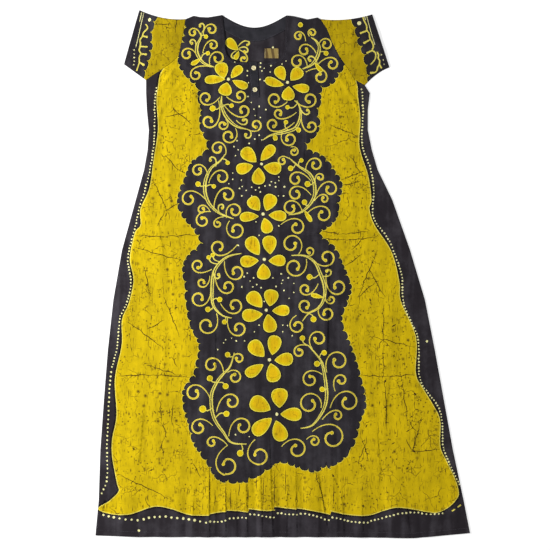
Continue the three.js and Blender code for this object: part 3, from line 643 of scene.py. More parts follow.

# Painted shade: dark lines drawn along the pressed pleats in place of their shadows, from x, y to x, y. Below
# them are the long cracks of the wax.
pleatShadeLines = [
    (-186, -485, -187, -604), (-145, -529, -145, -601), (-172, -548, -172, -588), (-88, -524, -88, -594),
    (-48, -510, -50, -599), (-21, -497, -22, -602), (-133, -554, -133, -597), (-67, -518, -67, -548),
    (79, -484, 88, -520), (129, -536, 129, -588), (-110, -530, -111, -562), (8, -500, 7, -560),
]
veins = [
    (-418, -259, -330, -257), (-330, -257, -245, -260), (198, -257, 265, -260), (265, -260, 336, -256),
    (256, -78, 254, -180), (254, -180, 257, -257), (-372, 98, -300, 95), (-300, 95, -215, 99),
    (96, 92, 160, 86), (160, 86, 236, 92), (100, 108, 150, 101), (150, 101, 215, 108), (148, 238, 205, 262),
    (140, 222, 200, 236), (-300, 300, -262, 262), (-262, 262, -240, 250), (176, 60, 205, 95),
    (160, 20, 200, 52), (190, -60, 236, -20), (-352, 20, -335, -60), (-345, -140, -300, -118),
    (-282, -210, -268, -236), (-262, 180, -300, 160), (-300, 160, -318, 120), (-190, 440, -230, 462),
    (-242, 410, -300, 400), (-421, -507, -289, -570), (-311, -320, -308, -375), (-308, -375, -295, -405),
    (-279, -333, -282, -385), (-308, -430, -302, -463), (-230, -476, -208, -515), (330, -451, 398, -446),
    (330, -451, 337, -399), (337, -399, 320, -370), (330, -451, 349, -373), (330, -451, 312, -420),
    (259, -270, 264, -399), (304, -270, 317, -383), (200, -415, 220, -477), (212, -425, 193, -476),
    (84, -509, 110, -597), (-376, 68, -250, 32), (-395, -120, -300, -190), (-330, 240, -290, 150),
    (240, 60, 190, -60), (170, 300, 205, 245), (-300, -60, -262, -160), (230, -160, 330, -185),
    (-280, 420, -230, 380), (120, 380, 185, 350), (-345, -230, -250, -262), (215, 20, 260, -60),
]

# Where the wax chipped off and the dark dye went in, from the photo: x, y and size.
chips = [
    (201, 30, 2.2), (222, -66, 2.8), (265, -181, 3.0), (229, 58, 2.6), (283, -130, 2.4), (282, -208, 2.6),
    (260, -272, 3.4), (260, -338, 3.6), (336, -305, 4.2), (351, -371, 4.4), (333, -450, 5.0),
    (316, -493, 3.2), (212, -386, 3.0), (280, -430, 2.6), (204, -589, 3.2), (128, -516, 3.0),
    (199, -488, 2.2), (265, -554, 2.6), (327, -362, 3.0), (318, -398, 2.6), (-318, -262, 3.0),
    (-289, -352, 3.2), (-378, -444, 3.0), (-334, -498, 3.4), (-296, 150, 2.8), (-271, -86, 2.6),
    (-345, -28, 2.8), (-236, 352, 2.6),
]


# An edge of outward bumps that meet in points, along a smooth line.
bumpForm = dict(widths=(0.7, 1.3), heights=(0.6, 1.35), parts=7, fullness=0.6, lean=0.06, sunk=0.45)


def scalloped(points, pitch, deep, rng):
    line = curveThrough(points, 2.0)
    stops, run, goal = [line[0]], 0.0, pitch * rng.uniform(*bumpForm["widths"])
    for i in range(1, len(line)):
        run += (line[i] - line[i - 1]).length
        if run >= goal or i == len(line) - 1:
            stops.append(line[i])
            run, goal = 0.0, pitch * rng.uniform(*bumpForm["widths"])
    return bumps(stops, pitch, deep, rng)


def bumps(stops, pitch, deep, rng):
    found = []
    for a, b in zip(stops, stops[1:]):
        out = Vector(((b - a).y, -(b - a).x)).normalized()
        rise = deep * rng.uniform(*bumpForm["heights"]) * min(1, (b - a).length / pitch)
        for k in range(bumpForm["parts"]):
            t = k / bumpForm["parts"]
            bulge = math.sin(math.pi * t) ** bumpForm["fullness"]
            lean = (b - a) * (bumpForm["lean"] * math.sin(math.tau * t))
            found.append(a.lerp(b, t) - lean - out * rise * (bumpForm["sunk"] - bulge))
    return found + [stops[-1]]


def dottedLine(shapes, points, pitch, size, rng):
    line = curveThrough(points, 1.0)
    sides = normals(line, False)
    run, goal = 0.0, pitch
    for i in range(1, len(line)):
        run += (line[i] - line[i - 1]).length
        if run >= goal:
            p = line[i] - sides[i] * rng.uniform(-0.8, 0.8)
            shapes.append(("dot", disc(p.x, p.y, size * rng.uniform(0.82, 1.12), rng, 9)))
            run, goal = 0.0, pitch * rng.uniform(0.9, 1.1)


# A dark wavering line with thorns for a long crack of the wax; with a waver under 1 it has no thorns and
# draws a painted shade line along a pleat.
def vein(shapes, row, rng, waver=2.2):
    a, b = Vector(row[:2]), Vector(row[2:])
    side = Vector((-(b - a).y, (b - a).x)).normalized()
    parts = max(3, round((b - a).length / 11))
    points = [a.lerp(b, k / parts) + side * rng.uniform(-waver, waver) for k in range(parts + 1)]
    stroke(shapes, points, (0.8, 2.3, 0.7), "vein", rng)
    for p in points[1:-1] if waver > 1 else []:
        if rng.random() < 0.4:
            out = side * rng.choice((-1, 1)) * rng.uniform(4, 8)
            thorn = out + (b - a).normalized() * rng.uniform(-4, 4)
            stroke(shapes, [p - thorn * 0.3, p + thorn * 0.2, p + thorn], (1.2, 1.6, 0.8), "vein", rng)


def tuckShift(x, y):
    deep = float(smooth((tucks["top"] - y) / (tucks["top"] - tucks["full"])))
    if not deep:
        return 0.0
    return deep * sum(math.copysign(jump / 2, x - at) * math.exp(-abs(x - at) / tucks["reach"])
                      for at, jump in tucks["rows"])


# Small shapes move whole, so a line breaks at the pleat, and large ones point by point.
def tucked(shape):
    xs, ys = [p.x for p in shape], [p.y for p in shape]
    if max(xs) - min(xs) < tucks["smallest"]:
        up = Vector((0, tuckShift(sum(xs) / len(xs), sum(ys) / len(ys))))
        return [p + up for p in shape]
    return [p + Vector((0, tuckShift(p.x, p.y))) for p in shape]


# Draws a wide line under a shape's edge and a narrow one over it.
def outlined(shapes, edge, under, over, rng):
    for dye, width in (under, over):
        stroke(shapes, edge, (width, width, width), dye, rng)


def printedBody(rng, isFront):
    shapes = []
    left, right = fieldEdge["left"], fieldEdge["right"]
    field = curveThrough(left + fieldEdge["hem"] + right, 3.2) + [Vector((160, 720)), Vector((-300, 720))]
    shapes.append(("field", field))
    outlined(shapes, field, ("haloUnder", 11), ("fieldRim", 2.0), rng)
    panel = scalloped(panelEdge["left"], panelEdge["pitch"], panelEdge["deepLeft"], rng)
    panel += scalloped(panelEdge["right"], panelEdge["pitch"], panelEdge["deepRight"], rng)
    shapes.append(("navy", panel))
    outlined(shapes, panel, ("notchRim", 3.6), ("halo", 1.8), rng)
    for line, pitch, size in dotRows:
        dottedLine(shapes, line, pitch, size, rng)
    for x, y, size in strayDots:
        shapes.append(("dot", disc(x, y, size, rng)))
    for line in cornerDashes:
        stroke(shapes, straightThrough(line, 3), (3.4, 4.2, 3.4), "scroll", rng)
    for row in veins:
        vein(shapes, row, rng)
    # The front's pleats get painted shade lines in the dark crack dye.
    for row in pleatShadeLines if isFront else []:
        vein(shapes, row, rng, 0.9)
    for centre, petals in flowers:
        flower(shapes, centre, petals, rng)
    for row in vines:
        stem = curveThrough(row["stem"], 4)
        stroke(shapes, stem, (2.4, 3.8, 2.4), "scroll", rng)
        sides = normals(stem, False)
        count = len(stem) - 1
        twin = [p + n * 5.5 * math.sin(math.pi * k / count) for k, (p, n) in enumerate(zip(stem, sides))]
        stroke(shapes, twin[1:-1], (1.6, 2.6, 1.6), "scroll", rng)
        for item in row["curls"]:
            curl(shapes, item[:2], item[2:4], item[4], item[5], rng)
        for item in row["buds"]:
            bud(shapes, *item, stem, rng)
        for item in row["leaves"]:
            leaf(shapes, *item, stem, rng)
    for x, y in looseDots:
        shapes.append(("dot", disc(x, y, rng.uniform(1.5, 2.3), rng, 8)))
    for x, y, size in chips:
        at = Vector((x, y))
        shapes.append(("vein", disc(x, y, size * 0.7, rng, 8, 0.5)))
        for turn in (rng.uniform(0, math.tau), rng.uniform(0, math.tau)):
            tip = Vector((math.cos(turn), math.sin(turn))) * size * 1.9
            stroke(shapes, [at - tip, at, at + tip], (0.6, 1.6, 0.6), "vein", rng)
    return [(dye, tucked(shape)) for dye, shape in shapes]


# What shows of the back's own print inside the neck.
neckShapes = dict(
    border=[(-200, 480), (60, 480), (60, 680), (-200, 680)],
    petals=[(-113, 568, -142, 596, 24), (-112, 566, -121, 544, 12)],
    curls=[(-112, 572, -95, 567, 8, -1), (-112, 570, -100, 545, 10, -1), (-113, 578, -90, 585, 7, -1),
           (-118, 566, -124, 552, 7, 1)],
    dot=(-25, 575, 2.8),
)


def neckPrint(rng):
    shapes = [("border", [Vector(p) for p in neckShapes["border"]])]
    for row in neckShapes["petals"]:
        petal(shapes, row, rng)
    for item in neckShapes["curls"]:
        curl(shapes, item[:2], item[2:4], item[4], item[5], rng)
    shapes.append(("dot", disc(*neckShapes["dot"], rng)))
    return shapes


# The shapes whose triangles don't add up to their own area, because they ran out over their edge.
def spills(verts, tris, origFaces, rings):
    filled = [0.0] * len(rings)
    for tri, origin in zip(tris, origFaces):
        a, b, c = (verts[i] for i in tri)
        size = abs((b - a).cross(c - a)) / 2
        for k in origin:
            filled[k] += size
    own = [abs(sum(a.x * b.y - b.x * a.y for a, b in zip(ring, ring[1:] + ring[:1]))) / 2 for ring in rings]
    return {k for k, area in enumerate(own) if k and abs(filled[k] - area) > 2 + 0.02 * area}


# Cuts a flat piece into triangles along its outline and every shape waxed on it. Points of a shaken grid
# fill the open cloth. As shares of the step, row is a row's height, start the first point's place, jitter
# the shake and clear the room kept round other points. Points closer than merge, in millimetres, are joined.
grid = dict(row=0.87, start=0.25, jitter=0.16, clear=0.45, merge=0.01)


def cutFlat(outline, shapes, step, seed, extra=()):
    rng = random.Random(seed)
    points, faces, names = [], [], []
    for name, shape in [("outline", outline)] + list(shapes):
        ring = shape[::-1] if isClockwise(shape) else shape
        faces.append(list(range(len(points), len(points) + len(ring))))
        points += ring
        names.append(name)
    points += extra
    tree = kdtree.KDTree(len(points))
    for i, p in enumerate(points):
        tree.insert((p.x, p.y, 0), i)
    tree.balance()
    xs, ys = [p.x for p in outline], [p.y for p in outline]
    rows = int((max(ys) - min(ys)) / (step * grid["row"]))
    columns = int((max(xs) - min(xs)) / step)
    jitter = grid["jitter"]
    for j in range(rows):
        for i in range(columns):
            across = i + grid["start"] + 0.5 * (j % 2)
            p = Vector((min(xs) + across * step, min(ys) + (j + 0.5) * step * grid["row"]))
            p += Vector((rng.uniform(-jitter, jitter), rng.uniform(-jitter, jitter))) * step
            if tree.find((p.x, p.y, 0))[2] > grid["clear"] * step:
                points.append(p)
    verts, _, tris, origVerts, _, origFaces = delaunay_2d_cdt(points, [], faces, 1, grid["merge"])
    spilled = spills(verts, tris, origFaces, [[points[i] for i in face] for face in faces])
    if spilled:
        print("left out", len(spilled), "of", len(faces), "shapes that spilled")
        kept = [shape for k, shape in enumerate(shapes, 1) if k not in spilled]
        return cutFlat(outline, kept, step, seed, extra)
    kept, worn = [], []
    rank = {name: k for k, name in enumerate(dyeOrder)}
    for tri, origin in zip(tris, origFaces):
        if 0 not in origin:
            continue
        a, b, c = (verts[i] for i in tri)
        turned = (b - a).cross(c - a) < 0
        kept.append(tri[::-1] if turned else tri)
        found = [names[k] for k in origin if k]
        worn.append(max(found, key=rank.get) if found else "border")
    return verts, kept, worn, origVerts


# The loops of edges that have one face, each running as its faces do.
def openLoops(faces):
    nextOf = {}
    seen = {(a, b) for face in faces for a, b in zip(face, face[1:] + face[:1])}
    for a, b in seen:
        if (b, a) not in seen:
            nextOf[a] = b
    loops = []
    while nextOf:
        start = min(nextOf)
        loop, at = [], start
        while at in nextOf:
            loop.append(at)
            at = nextOf.pop(at)
        loops.append(loop)
    return loops


# The faces numbered anew over the points that they use, and those points.
def onlyUsed(verts, faces):
    used = sorted({i for face in faces for i in face})
    newNumber = {old: k for k, old in enumerate(used)}
    return [[newNumber[i] for i in face] for face in faces], np.array([verts[i][:] for i in used])


# How finely each piece's face and the side behind it are cut, and how far both close in on the rim.
facets = dict(front=(5.3, 13), back=(9, 16), facing=(4.5, 9), band=(3.2, 6), label=(1.9, 5), rim=0.3)


# A closed thin shell: a finely cut face, a coarse face behind it and a rim between them.
def clothShell(name, outline, shapes, step, coarse, faceZ, behindZ, seed, behindShapes=(), extra=(),
               under=False):
    verts, faces, worn, _ = cutFlat(outline, shapes, step, seed, extra)
    faces, flat = onlyUsed(verts, faces)
    loop = max(openLoops(faces), key=len)
    ring = [Vector(flat[i]) for i in loop]
    backVerts, backFaces, backWorn, backFrom = cutFlat(ring, behindShapes, coarse, seed + 1)
    onRing = {}
    for k, sources in enumerate(backFrom):
        for source in sources:
            if source < len(ring):
                onRing[source] = k
    backUsed = sorted({i for face in backFaces for i in face} | set(onRing.values()))
    backPlace = {old: k + len(flat) for k, old in enumerate(backUsed)}
    backFlat = np.array([backVerts[i][:] for i in backUsed])
    z = faceZ(flat[:, 0], flat[:, 1])
    backZ = behindZ(backFlat[:, 0], backFlat[:, 1])
    drawIn = -facets["rim"] if under else facets["rim"]
    z[loop] -= drawIn
    for source in onRing.values():
        backZ[backPlace[source] - len(flat)] += drawIn
    coords = np.vstack([np.column_stack([flat, z]), np.column_stack([backFlat, backZ])]) * mm
    allFaces = [face[::-1] if under else face for face in faces]
    dyed = list(worn)
    for face, dye in zip(backFaces, backWorn):
        turned = [backPlace[i] for i in face]
        allFaces.append(turned if under else turned[::-1])
        dyed.append(dye)
    rimDye = {}
    for face, dye in zip(faces, worn):
        for a, b in zip(face, face[1:] + face[:1]):
            rimDye[(a, b)] = dye
    count = len(loop)
    for k in range(count):
        a, b = loop[k], loop[(k + 1) % count]
        c, d = backPlace[onRing[(k + 1) % count]], backPlace[onRing[k]]
        quad = [b, a, d, c]
        allFaces.append(quad[::-1] if under else quad)
        dyed.append(rimDye.get((a, b), "border"))
    return dyedMesh(name, coords, allFaces, dyed)


def dyedMesh(name, coords, faces, dyed):
    mesh = bpy.data.meshes.new(name)
    mesh.from_pydata(coords.tolist(), [], faces)
    colours = {key: linear(dyes[wornDye.get(key, key)]) for key in set(dyed)}
    shade, wax = [], []
    for face, dye in zip(faces, dyed):
        shade += (colours[dye] + [1.0]) * len(face)
        wax += [crackled.get(dye, 0.0)] * len(face)
    mesh.color_attributes.new("dye", "FLOAT_COLOR", "CORNER").data.foreach_set("color", shade)
    mesh.attributes.new("waxed", "FLOAT", "CORNER").data.foreach_set("value", wax)
    mesh.validate()
    mesh.shade_smooth()
    piece = bpy.data.objects.new(name, mesh)
    bpy.context.collection.objects.link(piece)
    print(name, len(mesh.polygons), "faces")
    return piece


# The outline of a panel, counter-clockwise from the hem's left end. The front's has the slit and a low neck.
def panelOutline(isFront, step=4.0):
    rows = cut["sections"]
    hem = cut["hem"]
    right = [(r, y) for y, _, r in rows[1:]]
    left = [(l, y) for y, l, _ in reversed(rows[1:])]
    shoulder = cut["shoulder"][::-1]
    rightShoulder = [p for p in shoulder if p[0] >= cut["neckPointRight"]][1:]
    leftShoulder = [p for p in shoulder if p[0] <= cut["neckPointLeft"]][:-1]
    if isFront:
        split = cut["slitWidth"] / 2
        arc = neckArc(0, 60)
        slitAt = cut["slitTop"]
        neck = [p for p in arc if p[0] > slitAt + split]
        bottom = cut["neckBottom"] - cut["slitLength"]
        neck += [(slitAt + split, float(frontNeckY(slitAt + split))), (float(slitX(bottom)), bottom),
                 (slitAt - split, float(frontNeckY(slitAt - split)))]
        neck += [p for p in arc if p[0] < slitAt - split]
    else:
        xs = np.linspace(cut["neckPointRight"], cut["neckPointLeft"], 26)[1:-1]
        neck = [(x, float(backNeckY(x))) for x in xs]
    points = straightThrough(hem + right, step)[:-1]
    points += straightThrough([right[-1]] + rightShoulder + neck + leftShoulder, step)[:-1]
    points += straightThrough(left + [hem[0]], step)[:-1]
    return points


def frontPanel():
    rng = random.Random(11)
    outline = panelOutline(True)
    inner = movedOut(outline, -1.1) + creasePoints()
    return clothShell("frontPanel", outline, printedBody(rng, True), *facets["front"], frontZ,
                      lambda x, y: frontZ(x, y, -1), 21, extra=inner)


def backPanel():
    rng = random.Random(12)
    outline = panelOutline(False)
    flatTop = lambda x, y: np.full_like(x, cut["cloth"] - 0.05)
    return clothShell("backPanel", outline, printedBody(rng, False), *facets["back"],
                      lambda x, y: np.zeros_like(x) + 0.02, flatTop, 22, neckPrint(rng), under=True)


# Sleeves: flattened tubes from the armhole to the cuff.
sleeves = dict(
    sleeveLeft=dict(side=1, out=-1, top=(-364, 669.8), low=(-403, 532), topBow=8, lowBow=0, underarm=492,
                    seed=31, node="sleeve_left"),
    sleeveRight=dict(side=2, out=1, top=(227, 659), low=(271, 524), topBow=7, lowBow=6, underarm=479,
                     seed=32, node="sleeve_right"),
)
# pleats: place across and width. creases: place across, lean, width, height and reach towards the cuff.
sleeveForm = dict(
    puff=1.4, pleat=1.1, pleats=[(0.3, 0.1), (0.72, 0.09)], crumple=0.9, seamGap=0.7, wall=0.7, roll=3.0,
    creases=[(0.18, 0.04, 0.035, -0.8, 0.7), (0.42, -0.05, 0.04, 1.0, 0.8), (0.55, 0.06, 0.032, -1.0, 0.6),
             (0.64, -0.1, 0.04, 0.9, 0.9), (0.86, -0.04, 0.04, -0.8, 1.1)],
    step=3.2, edgeStep=5, folded=0.12)
# stops: where the bumps of the cuff's navy band meet. vines: the wavy lines. bars: short bars off a vine,
# from x, y to x, y, with the size of their round end. lines: the thin pale lines. dots: x, y, radius.
sleevePrint = dict(
    sleeveLeft=dict(
        stops=[(-324, 690), (-323, 662), (-331, 640), (-339, 613), (-339, 588), (-341, 566), (-346, 540),
               (-354, 516), (-362, 490)],
        vines=[[(-348, 634), (-343, 624), (-353, 612), (-357, 601), (-362, 594), (-361, 584), (-362, 576),
                (-364, 567), (-360, 558), (-364, 550), (-364, 539), (-366, 530), (-371, 515)]],
        bars=[(-356, 604, -345, 601, 2.6), (-362, 577, -345, 576, 2.4), (-361, 558, -347, 557, 2.6),
              (-364, 537, -354, 531, 3.6)],
        lines=[[(-352, 666), (-358, 640), (-364, 612), (-369, 590), (-373, 575)], [(-358, 664), (-363, 640)]],
        dots=[(-338, 645, 4.6), (-377, 568, 1.7), (-377, 558, 1.6), (-377, 549, 1.9), (-377, 540, 1.6),
              (-378, 531, 1.7)],
        # veins: dark lines in the crack dye; the first is painted shade along a pleat in the sleeve cap.
        veins=[(-271, 655, -272, 612), (-330, 632, -280, 634), (-300, 627, -284, 622)]),
    sleeveRight=dict(
        stops=[(176, 690), (178, 654), (189, 625), (196, 599), (204, 577), (213, 556), (218, 529), (222, 503),
               (226, 480)],
        vines=[[(203, 652), (206, 643), (213, 629), (213, 619), (219, 610), (221, 598), (227, 587),
                (230, 577), (227, 567), (234, 562), (236, 553), (233, 543), (223, 531)],
               [(239, 563), (243, 555), (242, 547), (246, 541), (245, 532), (241, 525), (239, 517),
                (234, 511), (223, 510)]],
        bars=[(214, 617, 198, 611, 3.0), (221, 594, 207, 586, 3.2), (227, 567, 215, 561, 3.0),
              (245, 532, 250, 523, 2.0), (234, 511, 224, 510, 3.0)],
        lines=[[(212, 658), (220, 627), (227, 602), (234, 581)], [(207, 655), (210, 644)]],
        dots=[(194, 636, 4.6), (250, 556, 1.8), (255, 543, 1.6), (257, 532, 1.6)],
        veins=[(182, 620, 178, 600), (186, 590, 182, 574)]),
)


def sleeveLines(row):
    seam = [(s[row["side"]] + row["out"] * sleeveForm["seamGap"], s[0]) for s in cut["sections"]
            if s[0] >= row["underarm"]][::-1]
    bowed = lambda a, b, bow: [Vector(a).lerp(Vector(b), t) + Vector((0, 4 * t * (1 - t) * bow))
                               for t in np.linspace(0, 1, 12)]
    top = bowed(seam[0], row["top"], -row["topBow"])
    low = bowed(seam[-1], row["low"], row["lowBow"])
    cuff = [Vector(row["top"]), Vector(row["low"])]
    return [Vector(p) for p in seam], top, low, cuff


def sleeveZ(row, x, y):
    seam, top, low, cuff = sleeveLines(row)
    toSeam, toTop, toLow, toCuff = (awayFrom(line, x, y) for line in (seam, top, low, cuff))
    t = toSeam / np.maximum(toSeam + toCuff, 1e-6)
    s = toTop / np.maximum(toTop + toLow, 1e-6)
    gathers = sum(np.exp(-((s - at) / width) ** 2) for at, width in sleeveForm["pleats"])
    sharp = sum(height * np.exp(-((s - at - lean * t) / width) ** 2) * smooth((reach - t) / 0.3)
                for at, lean, width, height, reach in sleeveForm["creases"])
    puffed = sleeveForm["puff"] + sleeveForm["pleat"] * gathers * (1 - t / 2)
    full = smooth(t / 0.4) * np.sin(math.pi * s) * puffed
    toFold = np.minimum(toTop, toLow)
    soft = crumple(x, y, row["seed"]) * sleeveForm["crumple"] + sharp
    soft = soft * smooth(toFold / 20) * smooth(toSeam / 12)
    middle = cut["cloth"] + cut["gap"] / 2
    rolled = np.sqrt(1 - (1 - np.minimum(toFold / sleeveForm["roll"], 1)) ** 2)
    upper = 2 * cut["cloth"] + cut["gap"] + 0.25 * smooth(toSeam / 3) + full + soft
    return middle + (upper - middle) * rolled, middle * (1 - rolled) + 0.02, rolled


# The yellow ground of both sleeves, and the navy band round their cuffs: its outer corners and its bumps.
sleeveGround = [(-500, 430), (420, 430), (420, 700), (-500, 700)]
cuffBand = dict(far=480, top=700, low=440, inset=4, pitch=22, deep=9)


def printedSleeve(name, row, rng):
    drawn = sleevePrint[name]
    out = row["out"]
    far = Vector((out * cuffBand["far"], cuffBand["top"]))
    near = Vector((out * cuffBand["far"], cuffBand["low"]))
    shapes = [("sleeveField", [Vector(p) for p in sleeveGround])]
    stops = [Vector((x - out * cuffBand["inset"], y)) for x, y in drawn["stops"]]
    edge = bumps(stops[::-1] if out < 0 else stops, cuffBand["pitch"], cuffBand["deep"], rng)
    shapes.append(("navy", edge + ([far, near] if out < 0 else [near, far])))
    outlined(shapes, edge, ("notchRim", 3.0), ("halo", 1.8), rng)
    for line in drawn["lines"]:
        stroke(shapes, curveThrough(line, 4), (1.4, 1.8, 1.4), "dot", rng)
    for line in drawn["vines"]:
        stroke(shapes, curveThrough(line, 3), (3.2, 3.8, 3.0), "scroll", rng)
    for x, y, x2, y2, end in drawn["bars"]:
        stroke(shapes, straightThrough([(x, y), (x2, y2)], 4), (3.0, 4.2, 4.2), "scroll", rng, end)
    for x, y, size in drawn["dots"]:
        shapes.append(("dot", disc(x, y, size, rng, 12, 0.2)))
    # Dark lines in the crack dye, one of them painted shade along a pleat.
    for item in drawn["veins"]:
        vein(shapes, item, rng)
    return shapes


def sleeve(name, row):
    seam, top, low, cuff = sleeveLines(row)
    step = sleeveForm["edgeStep"]
    ring = top + straightThrough(cuff, step)[1:] + low[::-1][1:] + straightThrough(seam[::-1], step)[1:-1]
    outline = straightThrough([tuple(p) for p in ring] + [tuple(ring[0])], step)[:-1]
    inner = movedOut(outline, -1.0) + movedOut(outline, -2.6)
    printed = printedSleeve(name, row, random.Random(row["seed"]))
    verts, faces, worn, _ = cutFlat(outline, printed, sleeveForm["step"], row["seed"], inner)
    faces, flat = onlyUsed(verts, faces)
    upper, lower, rolled = sleeveZ(row, flat[:, 0], flat[:, 1])
    folded = rolled < sleeveForm["folded"]
    count = len(flat)
    under = [k if folded[k] else k + count for k in range(count)]
    upper[folded] = lower[folded] = cut["cloth"] + cut["gap"] / 2
    coords = np.vstack([np.column_stack([flat, upper]), np.column_stack([flat, lower])]) * mm
    allFaces = faces + [[under[i] for i in face[::-1]] for face in faces]
    piece = dyedMesh(name, coords, allFaces, worn + worn)
    select(piece)
    bpy.ops.object.mode_set(mode="EDIT")
    bpy.ops.mesh.select_all(action="SELECT")
    bpy.ops.mesh.delete_loose(use_verts=True, use_edges=True, use_faces=False)
    bpy.ops.object.mode_set(mode="OBJECT")
    wall = piece.modifiers.new("wall", "SOLIDIFY")
    wall.thickness, wall.offset = sleeveForm["wall"] * mm, -1
    bpy.ops.object.modifier_apply(modifier=wall.name)
    return piece


def select(*pieces):
    bpy.ops.object.select_all(action="DESELECT")
    for piece in pieces:
        piece.select_set(True)
    bpy.context.view_layer.objects.active = pieces[0]


front = frontPanel()
back = backPanel()
sleeveMeshes = {name: sleeve(name, row) for name, row in sleeves.items()}
print("panels and sleeves cut")


# The trim: facing, placket band and label are small flat shells of their own.
trimSizes = dict(edgeIn=1.5, bandLift=0.5, bandThick=0.9, stitchIn=2.2, facingDrop=0.12, facingThick=0.95)


def facingOutline():
    left = cut["neckPointLeft"] - cut["facingUnder"]
    right = cut["neckPointRight"] + cut["facingUnder"]
    xs = np.linspace(left, right, 44)
    top = np.minimum(backNeckY(xs), between(cut["shoulder"], xs)) - trimSizes["edgeIn"]
    lower = [Vector((x, y - cut["facingDepth"])) for x, y in zip(xs, top)]
    upper = [Vector((x, y)) for x, y in zip(xs, top)]
    ends = [lower[-1].lerp(upper[-1], t) for t in np.linspace(0, 1, 8)[1:-1]]
    return lower + ends + upper[::-1] + [upper[0].lerp(lower[0], t) for t in np.linspace(0, 1, 8)[1:-1]]


def neckFacing():
    z = cut["cloth"] + cut["gap"] + cut["trim"]
    soft = lambda x, y: z - trimSizes["facingDrop"] + crumple(x, y, 5) * 0.25
    outline = facingOutline()
    return clothShell("neckFacing", outline, [], *facets["facing"], soft,
                      lambda x, y: np.full_like(x, z - trimSizes["facingThick"]), 41,
                      extra=movedOut(outline, -0.9))


def bandPoint(across, down):
    x = float(slitX(cut["neckBottom"] - down)) + across
    return Vector((x, float(frontNeckY(x)) + 1 - down))


def bandBase(x, y):
    return frontZ(x, y, 0) + relief["above"] + trimSizes["bandLift"]


def placketBand():
    half, long = placket["width"] / 2, placket["length"]
    corners = [bandPoint(-half, long), bandPoint(half, long), bandPoint(half, 0)]
    top = [bandPoint(a, 0) for a in np.linspace(half, -half, 7)][1:]
    outline = straightThrough([tuple(p) for p in corners + top + [corners[0]]], 3.4)[:-1]
    faceZ = lambda x, y: bandBase(x, y) + trimSizes["bandThick"] + crumple(x, y, 9) * 0.3
    return clothShell("placketBand", outline, [], *facets["band"], faceZ, bandBase, 42,
                      extra=movedOut(outline, -0.9))


# The label's ends are folded under, so it's thicker there.
label = dict(x=-28, y=560, width=36, height=25, thick=0.62, endFold=0.3, foldWidth=5)


def neckLabel():
    x, y, w, h = label["x"], label["y"], label["width"] / 2, label["height"] / 2
    corners = [(x - w, y - h), (x + w, y - h), (x + w, y + h), (x - w, y + h), (x - w, y - h)]
    outline = straightThrough(corners, 2)[:-1]
    z = cut["cloth"] + cut["gap"]

    def folded(px, py):
        doubled = label["endFold"] * smooth((np.abs(px - x) - w + label["foldWidth"]) / 1.2)
        return z + label["thick"] + doubled + crumple(px, py, 13) * 0.2

    return clothShell("neckLabel", outline, [], *facets["label"], folded,
                      lambda px, py: np.full_like(px, z), 43, extra=movedOut(outline, -0.7))


facing = neckFacing()
band = placketBand()
tag = neckLabel()
print("trim cut")


# Buttons, modelled once and copied.
button = dict(radius=5.75, height=2.4, rim=1.1, slope=0.9, dish=0.7, edge=0.45, hole=0.9, spacing=1.6,
              above=0.95, upper=522, lower=467)


def facesWhere(mesh, test):
    bpy.ops.object.mode_set(mode="OBJECT")
    for part in (mesh.vertices, mesh.edges, mesh.polygons):
        part.foreach_set("select", [False] * len(part))
    for face in mesh.polygons:
        face.select = test(face)
    bpy.ops.object.mode_set(mode="EDIT")
    bpy.ops.mesh.select_mode(type="FACE")


def shirtButton():
    height = button["height"] * mm
    bpy.ops.mesh.primitive_cylinder_add(vertices=48, radius=button["radius"] * mm, depth=height,
                                        location=(0, 0, height / 2))
    body = bpy.context.active_object
    bpy.ops.object.transform_apply(location=True, rotation=True, scale=True)
    isTop = lambda face: face.normal.z > 0.9 and face.center.z > height * 0.6
    facesWhere(body.data, isTop)
    bpy.ops.mesh.inset(thickness=button["rim"] * mm)
    bpy.ops.mesh.inset(thickness=button["slope"] * mm)
    bpy.ops.transform.translate(value=(0, 0, -button["dish"] * mm))
    bpy.ops.object.mode_set(mode="OBJECT")
    edge = body.modifiers.new("edge", "BEVEL")
    edge.width, edge.segments, edge.limit_method = button["edge"] * mm, 3, "ANGLE"
    edge.angle_limit = math.radians(40)
    bpy.ops.object.modifier_apply(modifier=edge.name)
    drills = []
    for sx, sy in ((-1, -1), (-1, 1), (1, -1), (1, 1)):
        bpy.ops.mesh.primitive_cylinder_add(
            vertices=16, radius=button["hole"] * mm, depth=4 * height,
            location=(sx * button["spacing"] * mm, sy * button["spacing"] * mm, height / 2))
        drills.append(bpy.context.active_object)
    select(*drills)
    bpy.ops.object.join()
    drill = bpy.context.active_object
    bpy.ops.object.transform_apply(location=True, rotation=True, scale=True)
    select(body)
    holes = body.modifiers.new("holes", "BOOLEAN")
    holes.operation, holes.object, holes.solver = "DIFFERENCE", drill, "EXACT"
    bpy.ops.object.modifier_apply(modifier=holes.name)
    bpy.data.objects.remove(drill)
    bpy.ops.object.shade_smooth_by_angle(angle=math.radians(35))
    return body


def placed(piece, name, x, y, z, turn=0.0):
    made = piece.copy()
    made.data = piece.data.copy()
    made.name = made.data.name = name
    bpy.context.collection.objects.link(made)
    made.data.transform(Matrix.Translation((x * mm, y * mm, z * mm)) @ Matrix.Rotation(turn, 4, "Z"))
    return made


def buttonSeat(y):
    x = float(slitX(y))
    return x, float(bandBase(np.array([x]), np.array([float(y)]))[0]) + button["above"]


masterButton = shirtButton()
buttons = []
for which, turn in (("upper", 0.2), ("lower", -0.35)):
    x, z = buttonSeat(button[which])
    buttons.append(placed(masterButton, "button" + which.capitalize(), x, button[which], z, turn))
bpy.data.objects.remove(masterButton)
print("buttons made")


# Sewing: each stitch is a short thread, thick in its middle.
sewing = dict(length=2.4, pitch=3.3, closePitch=3.0, radius=0.26, endRadius=0.12, above=(0.16, 0.26, 0.16),
              sides=5)


